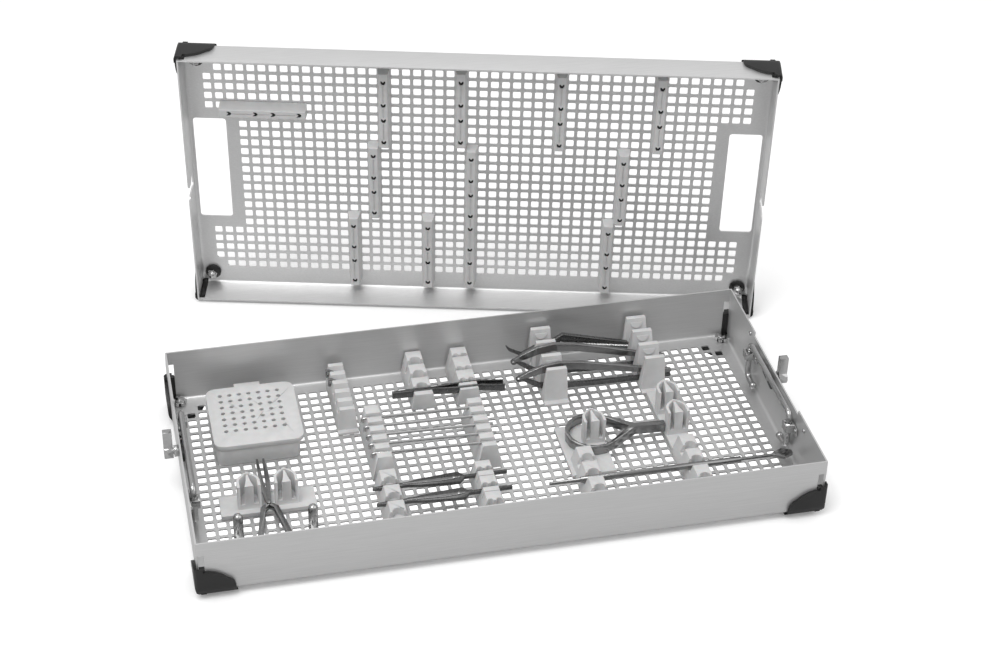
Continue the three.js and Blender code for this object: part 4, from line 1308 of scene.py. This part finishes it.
@dataclass
class Fasteners:
    """Small heads set on points that all face one way."""

    name: str
    body: Body
    place: Matrix
    facing: tuple[float, float, float]
    finish: object = CHROME
    slot: Slot = Slot.CHROME

    def build(self, head: bpy.types.Object, points: Iterable[Sequence[float]]) -> None:
        """Sets a copy of the head on each point.

        Args:
            head: the head, which is removed afterwards.
            points: the places in the body's frame.
        """
        draft = Draft()
        for point in points:
            draft.bm.verts.new(point)
        cloud = draft.finish(self.name, self.place)
        facing = self.place.to_3x3() @ Vector(self.facing)
        piece = fastener_tree().run(cloud, Item=head, Facing=tuple(facing), Material=material(self.finish))
        bpy.data.objects.remove(head)
        add_bevel(piece, 0.15 * MM, 2, 40)
        present(flattened(piece), self.finish, self.body.value, self.slot)


@dataclass
class WallHardware:
    """What sits inside the short walls: screws, spring clips and the dark cams of the latches."""

    place: Matrix
    half_x: float = 240 * MM
    bracket_y: float = 49 * MM
    bracket_z: float = 28.5 * MM
    bracket_reach: float = 7.6 * MM
    bracket_plate: float = 1.5 * MM
    latch_y: float = 8.5 * MM
    latch_z: float = 33 * MM
    clip_start: float = 15 * MM
    clip_length: float = 15 * MM
    clip_low: float = 34.5 * MM
    clip_width: float = 3.6 * MM
    clip_wave: float = 1.1 * MM
    clip_sheet: float = 0.4 * MM
    clip_steps: int = 24
    cam_back: tuple[float, float] = (2.5 * MM, 5.4 * MM)
    cam_tip: tuple[float, float] = (19.5 * MM, 2.9 * MM)
    cam_depths: tuple[float, float] = (2.6 * MM, 0.25 * MM)
    pin_depths: tuple[float, float] = (3.4 * MM, 2.4 * MM)
    pin_radius: float = 2.2 * MM

    def span(self, side: int, depths: Sequence[float]) -> list[float]:
        """Two depths off the inner face of a short wall as places along X, the lower first."""
        return sorted(side * (self.half_x - depth) for depth in depths)

    def screws(self, name: str, side: int) -> None:
        """Sets the bracket screws and the two small wall screws of one end.

        Args:
            name: left or right.
            side: -1 or 1.
        """
        points = []
        for end in (-1, 1):
            for reach in (-1, 1):
                y = end * self.bracket_y + reach * self.bracket_reach
                points.append((side * (self.half_x - self.bracket_plate), y, self.bracket_z))
        head = screw_head("bracket_screw", 2.3 * MM, 1.1 * MM)
        Fasteners(f"bracket_screws_{name}", Body.TRAY, self.place, (-side, 0, 0)).build(head, points)
        wall = [(side * self.half_x, -70 * MM, 39 * MM), (side * self.half_x, 62 * MM, 40 * MM)]
        small = screw_head("wall_screw", 2.0 * MM, 1.3 * MM)
        Fasteners(f"wall_screws_{name}", Body.TRAY, self.place, (-side, 0, 0)).build(small, wall)

    def clip(self, name: str, side: int) -> None:
        """Bends the flat wavy spring beside a latch.

        Args:
            name: left or right.
            side: -1 or 1.
        """
        draft = Draft()
        line = []
        for i in range(self.clip_steps + 1):
            share = i / self.clip_steps
            wave = self.clip_wave * (1 - math.cos(share * 4 * math.pi))
            x = side * (self.half_x - self.clip_sheet - wave)
            line.append((x, self.clip_start + self.clip_length * share))
        edges = (self.clip_low, self.clip_low + self.clip_width)
        draft.strip([[(x, y, z) for x, y in line] for z in edges])
        piece = draft.finish(f"spring_clip_{name}", self.place)
        wall = piece.modifiers.new("wall", "SOLIDIFY")
        wall.thickness = self.clip_sheet
        wall.offset = 0
        flattened(piece)
        piece.data.shade_smooth()
        piece.data.set_sharp_from_angle(angle=math.radians(40))
        present(piece, CHROME, Body.TRAY.value, Slot.CHROME)

    def cam(self, name: str, side: int) -> None:
        """Covers the latch's inner cam with its dark moulding and a bright pin.

        Args:
            name: left or right.
            side: -1 or 1.
        """
        outline = arc((self.cam_back[0], self.latch_z), self.cam_back[1], 90, 270, 12)
        outline += arc((self.cam_tip[0], self.latch_z), self.cam_tip[1], -90, 90, 10)
        draft = Draft()
        draft.prism(outline, Axis.X, *self.span(side, self.cam_depths))
        piece = draft.finish(f"latch_cam_{name}", self.place)
        add_bevel(piece, 0.5 * MM, 3, 40)
        present(flattened(piece), CAM, f"turn_latch_{name}", Slot.CHROME)
        pin = Draft()
        circle = arc((self.latch_y, self.latch_z), self.pin_radius, 0, 345, 23)
        pin.prism(circle, Axis.X, *self.span(side, self.pin_depths))
        head = pin.finish(f"latch_pin_{name}", self.place)
        add_bevel(head, 0.3 * MM, 2, 40)
        present(flattened(head), CHROME, f"turn_latch_{name}", Slot.CHROME)

    def build(self) -> None:
        """Makes the hardware of both ends."""
        for name, side in (("left", -1), ("right", 1)):
            self.screws(name, side)
            self.clip(name, side)
            self.cam(name, side)


def dress_soft(
    nodes: Iterable[str], finish: object, slot: Slot, width: float, body: Optional[str] = None
) -> None:
    """Replaces CAD nodes by copies with rounded edges.

    Args:
        nodes: the nodes.
        finish: their finish.
        slot: their material slot.
        width: the rounding in metres.
        body: the body, or None where each node has its own.
    """
    for node in nodes:
        present(softened(node, width), finish, body or f"{node}_body", slot, node)


@dataclass
class LidStrips:
    """Silicone bars inside the lid, each with star pockets joined by a narrow groove along its top."""

    place: Matrix
    length: float = 72.5 * MM
    foot: float = 11.0 * MM
    top: float = 7.6 * MM
    height: float = 12.0 * MM
    chamfer: float = 0.5 * MM
    groove: float = 0.9 * MM
    groove_depth: float = 0.7 * MM
    pocket: float = 2.1 * MM
    pocket_depth: float = 1.1 * MM
    pocket_shares: tuple[float, ...] = (0.077, 0.375, 0.58, 0.884)
    star: tuple[tuple[float, float], ...] = (
        (-1.0, -0.25), (-0.45, -1.0), (0.45, -1.0), (1.0, -0.25), (1.0, 0.85), (0.55, 0.85), (0.0, 0.2),
        (-0.55, 0.85), (-1.0, 0.85),
    )

    def ring(self, half_s: float, half_t: float, height: float) -> list[tuple[float, float, float]]:
        """The corners of a level rectangle round the strip's middle.

        Args:
            half_s: half its width.
            half_t: half its length.
            height: its height over the sheet.

        Returns:
            Four points.
        """
        corners = ((-1, -1), (1, -1), (1, 1), (-1, 1))
        return [(s * half_s, t * half_t, height) for s, t in corners]

    def star_loop(self, middle: float, height: float) -> list[tuple[float, float, float]]:
        """The outline of one star pocket.

        Args:
            middle: where it lies along the strip.
            height: its height over the sheet.

        Returns:
            The points.
        """
        return [(s * self.pocket, middle + t * self.pocket, height) for s, t in self.star]

    def pit(self, draft: Draft, loop: Sequence[Sequence[float]], depth: float) -> None:
        """Adds the walls and floor of a pocket or groove.

        Args:
            draft: the mesh.
            loop: the mouth's outline.
            depth: how deep it goes.
        """
        low = [(x, y, z - depth) for x, y, z in loop]
        draft.strip([list(loop) + [loop[0]], low + [low[0]]])
        draft.face(low)

    def strip(self, draft: Draft, shade: Draft, count: int, turn: Matrix) -> None:
        """Adds one strip at a place.

        Args:
            draft: the silicone mesh.
            shade: the mesh of the dark discs on the pocket floors, painted shade for the deep star slits.
            count: how many moulded lengths it has.
            turn: the matrix from the strip's own frame to the lid's.
        """
        part = Draft()
        half = count * self.length / 2
        rings = [
            self.ring(self.foot / 2, half, GAP),
            self.ring(self.top / 2, half, self.height - self.chamfer),
            self.ring(self.top / 2 - self.chamfer, half - self.chamfer, self.height),
        ]
        part.face(rings[0])
        for low, high in zip(rings, rings[1:]):
            part.strip([low + [low[0]], high + [high[0]]])
        starts = [i * self.length - half for i in range(count)]
        middles = [start + share * self.length for start in starts for share in self.pocket_shares]
        loops = [self.star_loop(middle, self.height) for middle in middles]
        clear = self.pocket * 1.35
        grooves = []
        for near, far in zip(middles, middles[1:]):
            if far - near > 3 * clear:
                ring = self.ring(self.groove / 2, (far - near) / 2 - clear, self.height)
                grooves.append([(x, y + (near + far) / 2, z) for x, y, z in ring])
        part.flat([rings[-1]] + loops + grooves)
        for loop in loops:
            self.pit(part, loop, self.pocket_depth)
            # A thin dark disc on each pocket floor, painted shade for the deep star slit.
            floor = [(x * 0.94, y, z - self.pocket_depth) for x, y, z in loop]
            dark = Draft()
            dark.prism([(x, y) for x, y, _ in floor], Axis.Z, floor[0][2], floor[0][2] + 0.08 * MM)
            shade.take(dark, turn)
        for groove in grooves:
            self.pit(part, groove, self.groove_depth)
        draft.take(part, turn)

    def build(self) -> None:
        """Makes every strip and the dark discs of painted shade on its pocket floors."""
        shade = Draft()
        for node, (column, row) in UPRIGHT_STRIPS.items():
            draft = Draft()
            count = 2 if node == "lid_strip_double" else 1
            self.strip(draft, shade, count, Matrix.Translation((hole_x(column), hole_y(row), 0)))
            present(draft.finish(f"{node}_soft", self.place), SILICONE, Body.LID.value, Slot.SILICONE, node)
        draft = Draft()
        column, row = LEVEL_STRIP
        level = Matrix.Translation((hole_x(column), hole_y(row), 0))
        level = level @ Matrix.Rotation(math.radians(90), 4, "Z")
        self.strip(draft, shade, 1, level)
        present(draft.finish("lid_strip_level_soft", self.place), SILICONE, Body.LID.value, Slot.SILICONE,
                "lid_strip_level")
        present(shade.finish("lid_strip_stars", self.place), PAINTED_POCKET_SHADE, Body.LID.value, Slot.SILICONE)


def band_outline(points: Sequence[tuple[float, float, float]]) -> list[tuple[float, float]]:
    """The outline of a band along a bent line.

    Args:
        points: (s, t, half width) from end to end.

    Returns:
        The outline, up one side and back along the other.
    """
    one, other = [], []
    for i, (s, t, half) in enumerate(points):
        before = points[max(i - 1, 0)]
        after = points[min(i + 1, len(points) - 1)]
        run, rise = after[0] - before[0], after[1] - before[1]
        size = math.hypot(run, rise)
        one.append((s + rise / size * half, t - run / size * half))
        other.append((s - rise / size * half, t + run / size * half))
    return one + other[::-1]


@dataclass
class SpringHolders:
    """The two spring-handled instruments on edge in the tall rests.

    Each has a wide grey arm with an eye at its end, a thin arm and a small hook; the thin arm's darker
    steel is painted shade. Shares run along the solid's box, up it, and across the arm.
    """

    nodes: tuple[str, ...] = ("spring_holder_back", "spring_holder_front")
    arm: float = 3.6 * MM
    eye: float = 2.7 * MM
    wire: float = 0.9 * MM
    thick: float = 3.2 * MM
    eye_thick: float = 2.4 * MM
    upper: tuple[tuple[float, float, float], ...] = (
        (0.02, 0.6, 0.34), (0.08, 0.7, 0.8), (0.17, 0.84, 1.0), (0.27, 0.9, 1.0), (0.4, 0.83, 1.0),
        (0.6, 0.62, 0.9), (0.8, 0.4, 0.72), (1.0, 0.22, 0.5),
    )
    lower: tuple[tuple[float, float, float], ...] = (
        (0.04, 0.56, 0.3), (0.09, 0.42, 0.46), (0.15, 0.24, 0.55), (0.26, 0.14, 0.55), (0.5, 0.09, 0.55),
        (0.8, 0.07, 0.5), (1.0, 0.07, 0.4),
    )

    def band(self, draft: Draft, node: str, shares: Sequence[Sequence[float]], thick: float) -> None:
        """Adds one arm.

        Args:
            draft: the mesh.
            node: the CAD node it stands for.
            shares: its line in shares of the node's box, and its width in shares of the arm.
            thick: how thick it is.
        """
        low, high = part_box(node)
        size = high - low
        line = [(low.x + s * size.x, low.z + t * size.z, w * self.arm) for s, t, w in shares]
        middle = (low.y + high.y) / 2
        draft.prism(band_outline(line), Axis.Y, middle - thick / 2, middle + thick / 2)

    def eyelet(self, draft: Draft, node: str, thick: float) -> None:
        """Adds the ring at the end of the wide arm.

        Args:
            draft: the mesh.
            node: the CAD node it stands for.
            thick: how thick it is.
        """
        low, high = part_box(node)
        middle = (low.y + high.y) / 2
        centre = (low.x + self.eye, low.z + 0.57 * (high.z - low.z))
        outer = arc(centre, self.eye, 0, 360, 20)
        inner = arc(centre, self.eye - self.wire, 0, 360, 20)
        sides = (middle - thick / 2, middle + thick / 2)
        rows = [[(x, y, z) for x, z in loop] for y, loop in zip(
            (sides[0], sides[1], sides[1], sides[0], sides[0]), (outer, outer, inner, inner, outer)
        )]
        draft.strip(rows)

    def build(self) -> None:
        """Makes both instruments."""
        for node in self.nodes:
            grey, black = Draft(), Draft()
            self.band(grey, node, self.upper, self.thick)
            self.band(black, node, self.lower, self.thick)
            self.eyelet(black, node, self.eye_thick)
            wide = grey.finish(f"{node}_wide_arm")
            thin = black.finish(f"{node}_thin_arm")
            add_bevel(wide, 0.5 * MM, 3, 35)
            add_bevel(thin, 0.3 * MM, 2, 35)
            present(flattened(wide), INSTRUMENT, f"{node}_body", Slot.INSTRUMENT, node)
            present(flattened(thin), DARK_INSTRUMENT, f"{node}_body", Slot.INSTRUMENT)


@dataclass
class TineScoops:
    """Half-round thumb scoops on the front of the tall rests' back tines."""

    place: Matrix
    middles: tuple[float, ...] = (71 * MM, 154.5 * MM)
    fronts: tuple[float, ...] = (109.3 * MM, 90.1 * MM, 70.9 * MM)
    slope: float = 9.6
    tine: float = 34 * MM
    top: float = 30.4 * MM
    radius: float = 5.2 * MM
    proud: float = 0.35 * MM
    lift: float = 10.0

    def build(self) -> None:
        """Makes the scoops of both rests."""
        draft = Draft()
        for x in self.middles:
            for y in self.fronts:
                part = Draft()
                part.prism(arc((0, 0), self.radius, 180, 360, 14), Axis.Y, -self.proud, self.proud)
                turn = Matrix.Rotation(math.radians(-self.slope - self.lift), 4, "X")
                lean = math.tan(math.radians(self.slope))
                foot = y - (self.tine - self.top) * lean
                draft.take(part, Matrix.Translation((x, foot, self.top)) @ turn)
        piece = draft.finish("tall_rest_scoops", self.place)
        add_bevel(piece, 0.6 * MM, 3, 35)
        present(flattened(piece), SILICONE, Body.TRAY.value, Slot.SILICONE)


@dataclass
class ForcepsPinsAndHighlights:
    """A raised strip of bright steel along the second blade, a painted highlight on the dark forceps, and the
    joint's pin on top of each pair of forceps.
    """

    nodes: tuple[str, ...] = ("forceps_1", "forceps_2")
    # The bright strip's line and width in shares of the forceps' box: a painted highlight along the blade.
    highlight_strip: tuple[tuple[float, float, float], ...] = (
        (0.22, 0.44, 0.25), (0.34, 0.42, 0.6), (0.5, 0.38, 0.9), (0.6, 0.4, 0.7), (0.65, 0.45, 0.3),
    )
    width: float = 1.8 * MM
    proud: float = 0.7 * MM
    pin: float = 1.5 * MM

    def build(self) -> None:
        """Makes the painted-highlight strips and the pins."""
        for node in self.nodes:
            low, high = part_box(node)
            size = high - low
            line = [(low.x + s * size.x, low.y + t * size.y, w * self.width) for s, t, w in self.highlight_strip]
            draft = Draft()
            draft.prism(band_outline(line), Axis.Z, high.z - self.proud, high.z + self.proud)
            centre = (line[3][0], line[3][1], high.z)
            profile = [(0, 0.0), (self.pin, 0.0), (self.pin, self.proud * 1.4), (0, self.proud * 2)]
            draft.lathe(profile, centre, 16)
            piece = draft.finish(f"{node}_blade")
            add_bevel(piece, 0.3 * MM, 2, 35)
            present(flattened(piece), CHROME, f"{node}_body", Slot.INSTRUMENT)


@dataclass
class KnurledRod:
    """The knurled handle of the instrument at the back of the tall rests."""

    node: str = "knurled_instrument"
    start: tuple[float, float] = (0.34, 0.66)
    end: tuple[float, float] = (0.8, 0.24)
    radius: float = 3.2 * MM
    rings: int = 46
    sides: int = 20

    def build(self) -> None:
        """Adds the grooved handle round the instrument's middle."""
        low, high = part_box(self.node)
        size = high - low
        middle = (low.y + high.y) / 2
        ends = [Vector((low.x + s * size.x, middle, low.z + t * size.z)) for s, t in (self.start, self.end)]
        way = ends[1] - ends[0]
        turn = Matrix.Translation(ends[0]) @ way.to_track_quat("Z", "Y").to_matrix().to_4x4()
        step = way.length / self.rings
        profile = [(0, 0.0), (self.radius * 0.7, 0.0)]
        for i in range(self.rings):
            profile += [(self.radius, (i + 0.3) * step), (self.radius * 0.86, (i + 0.8) * step)]
        profile += [(self.radius * 0.7, way.length), (0, way.length)]
        draft = Draft()
        draft.lathe(profile, (0, 0, 0), self.sides)
        present(draft.finish("knurled_handle", turn), CHROME, f"{self.node}_body", Slot.INSTRUMENT)


@dataclass
class Studio:
    """Camera, floor and light."""

    place: Matrix
    lens: float = 73.11
    eye: tuple[float, float, float] = (-0.2900, -1.2285, 1.0293)
    right: tuple[float, float, float] = (0.9751, -0.2207, 0.0221)
    up: tuple[float, float, float] = (0.1113, 0.5729, 0.8120)
    forward: tuple[float, float, float] = (0.1919, 0.7893, -0.5832)
    floor_half: float = 6.0
    floor_lit: float = 0.62
    floor_seen: float = 0.98
    floor_lift: float = 0.13
    painted_light_half: tuple[float, float] = (0.236, 0.1105)
    painted_light_shift: float = 0.0035
    surround_lit: float = 0.64

    def camera(self) -> None:
        """Makes the camera at the photograph's viewing angle."""
        data = bpy.data.cameras.new("camera")
        data.lens = self.lens
        data.sensor_fit = "HORIZONTAL"
        data.clip_end = 20
        camera = bpy.data.objects.new("camera", data)
        back = -Vector(self.forward)
        turn = Matrix((self.right, self.up, back)).transposed()
        camera.matrix_world = Matrix.Translation(self.place @ Vector(self.eye)) @ turn.to_4x4()
        bpy.context.scene.collection.objects.link(camera)
        bpy.context.scene.camera = camera

    def floor(self) -> None:
        """Makes the pale floor, white to the camera, also through the tray's holes, where a patch of extra
        emission under the tray is painted light over the tray's shade.
        """
        draft = Draft()
        half = self.floor_half
        draft.face(((-half, -half, 0), (half, -half, 0), (half, half, 0), (-half, half, 0)))
        floor = draft.finish("floor", up=True)
        board = NodeBoard("pale_floor")
        board.shader.inputs["Roughness"].default_value = 0.9
        board.shader.inputs["Emission Color"].default_value = (1, 1, 1, 1)
        seen = board.add("ShaderNodeLightPath").outputs["Is Camera Ray"]
        colour = board.add("ShaderNodeMix", data_type="RGBA")
        board.join(seen, colour.inputs["Factor"])
        colour.inputs["A"].default_value = (*[self.floor_lit] * 3, 1)
        colour.inputs["B"].default_value = (*[self.floor_seen] * 3, 1)
        board.join(colour.outputs["Result"], board.shader.inputs["Base Color"])
        where = board.add("ShaderNodeSeparateXYZ")
        board.join(board.add("ShaderNodeTexCoord").outputs["Object"], where.inputs["Vector"])
        # A patch of extra emission over the tray's footprint: painted light that fills the tray's shade on
        # the floor.
        inside = seen
        for axis, reach in (("X", self.painted_light_half[0]), ("Y", self.painted_light_half[1])):
            shift = self.painted_light_shift if axis == "Y" else 0.0
            centre = self.place.translation["XY".index(axis)] + shift
            middle = board.math("SUBTRACT", where.outputs[axis], centre)
            inside = board.math("MULTIPLY", inside, board.math("COMPARE", middle, 0.0, reach))
        lift = board.math("MULTIPLY_ADD", seen, self.floor_lift, inside)
        board.join(lift, board.shader.inputs["Emission Strength"])
        floor.data.materials.append(board.material)

    def world(self) -> None:
        """Makes a soft white surround, seen white by the camera and in reflections."""
        world = bpy.data.worlds.new("surround")
        world.use_nodes = True
        nodes = world.node_tree.nodes
        links = world.node_tree.links
        shown = nodes["Background"]
        shown.inputs["Color"].default_value = (1, 1, 1, 1)
        shown.inputs["Strength"].default_value = 1.0
        lit = nodes.new("ShaderNodeBackground")
        lit.inputs["Color"].default_value = (1, 1, 1, 1)
        lit.inputs["Strength"].default_value = self.surround_lit
        light = nodes.new("ShaderNodeLightPath")
        mix = nodes.new("ShaderNodeMixShader")
        most = nodes.new("ShaderNodeMath")
        most.operation = "MAXIMUM"
        links.new(light.outputs["Is Camera Ray"], most.inputs[0])
        links.new(light.outputs["Is Transmission Ray"], most.inputs[1])
        links.new(most.outputs["Value"], mix.inputs["Fac"])
        links.new(lit.outputs["Background"], mix.inputs[1])
        links.new(shown.outputs["Background"], mix.inputs[2])
        links.new(mix.outputs["Shader"], nodes["World Output"].inputs["Surface"])
        bpy.context.scene.world = world

    def lamp(self, name: str, at: Sequence[float], aim: Sequence[float], size: float, watts: float) -> None:
        """Adds a soft square lamp.

        Args:
            name: its name.
            at: where it hangs, in the tray's frame.
            aim: the point it faces.
            size: its side in metres.
            watts: its power.
        """
        data = bpy.data.lights.new(name, "AREA")
        data.size = size
        data.energy = watts
        lamp = bpy.data.objects.new(name, data)
        start = self.place @ Vector(at)
        way = (self.place @ Vector(aim)) - start
        lamp.matrix_world = Matrix.Translation(start) @ way.to_track_quat("-Z", "Y").to_matrix().to_4x4()
        bpy.context.scene.collection.objects.link(lamp)

    def build(self) -> None:
        """Makes everything round the object."""
        self.camera()
        self.floor()
        self.world()
        self.lamp("key", (-0.6, -0.45, 1.75), (0, 0, 0), 1.0, 16)
        self.lamp("rim", (0.1, 0.75, 1.6), (0, 0, 0), 0.7, 2)
        self.lamp("fill", (1.4, -0.4, 1.2), (0, 0, 0), 1.4, 5)
        bpy.context.scene.view_settings.view_transform = "Standard"


RESTS = (
    "box_body", "clamp_rack", "fork_rest_left", "fork_rest_right", "rod_strip_left", "rod_strip_right",
    "notch_rest_right", "turret_plate", "tall_rest_left", "tall_rest_right", "pen_strip_left",
    "pen_strip_right",
)
UPRIGHT_STRIPS = {
    "lid_strip_top_1": (16, 3.38),
    "lid_strip_top_2": (23, 3.15),
    "lid_strip_top_3": (32, 3.15),
    "lid_strip_top_4": (41, 3.15),
    "lid_strip_middle_1": (15, 11.3),
    "lid_strip_middle_2": (38, 11.3),
    "lid_strip_bottom_1": (13, 19.3),
    "lid_strip_bottom_2": (20, 19.3),
    "lid_strip_bottom_3": (37, 19.3),
    "lid_strip_double": (24, 15.3),
}
LEVEL_STRIP = (5, 4.09)
RODS = tuple(f"rod_{i}" for i in range(1, 6))
BRIGHT_INSTRUMENTS = ("clamp_back", "clamp_front", "scissors", "loop_forceps", "long_instrument")
DARK_INSTRUMENTS = ("tweezers", "forceps_1", "forceps_2", "knurled_instrument")


def main() -> None:
    """Builds the whole visual model in order and reports each piece."""
    logging.basicConfig(level=logging.INFO, format="%(name)s: %(message)s")
    place = tray_place()
    standing = lid_place(-14.07, 3.1, 27 * MM)
    Studio(place).build()
    PunchedPan(
        "tray_pan", Body.TRAY, place, 240 * MM, 117.3 * MM, 47 * MM, 35 * MM, STEEL,
        recess_half=54 * MM, recess=4 * MM,
    ).build("base_tray")
    PunchedPan(
        "lid_pan", Body.LID, standing, 243 * MM, 121.5 * MM, 27 * MM, 25 * MM, LID_STEEL,
        bay_columns=3, bay_row=5, window_high=51 * MM, window_low=50 * MM, window_depth=31 * MM, hook=True,
    ).build("lid_tray")
    CornerGuards("base_guard", Body.TRAY).build()
    CornerGuards("lid_guard", Body.LID).build()
    StarNuts(place).build()
    Bails(place).build()
    WallHardware(place).build()
    nuts = [(x * 233.5 * MM, y * 110 * MM, 3.4 * MM) for x in (-1, 1) for y in (-1, 1)]
    Fasteners("lid_nuts", Body.LID, standing, (0, 0, 1)).build(acorn_head("lid_nut", 4.6 * MM), nuts)
    brackets = [f"bracket_{side}_{end}" for side in ("left", "right") for end in ("front", "back")]
    dress_soft(brackets, CHROME, Slot.CHROME, 0.4 * MM, Body.TRAY.value)
    for side in ("left", "right"):
        dress_soft([f"latch_{side}"], CHROME, Slot.CHROME, 0.6 * MM, f"turn_latch_{side}")
    dress_soft(RESTS, SILICONE, Slot.SILICONE, 0.7 * MM, Body.TRAY.value)
    dress_soft(["dome_pin_left", "dome_pin_right"], CHROME, Slot.CHROME, 0.3 * MM, Body.TRAY.value)
    dress_soft(["box_lid"], SILICONE, Slot.SILICONE, 0.6 * MM, Body.BOX_COVER.value)
    LidStrips(standing).build()
    dress_soft(RODS, ROD_STEEL, Slot.INSTRUMENT, 0.3 * MM)
    dress_soft(BRIGHT_INSTRUMENTS, INSTRUMENT, Slot.INSTRUMENT, 0.3 * MM)
    dress_soft(DARK_INSTRUMENTS, DARK_INSTRUMENT, Slot.INSTRUMENT, 0.3 * MM)
    SpringHolders().build()
    KnurledRod().build()
    ForcepsPinsAndHighlights().build()
    TineScoops(place).build()


if __name__ == "__main__":
    main()
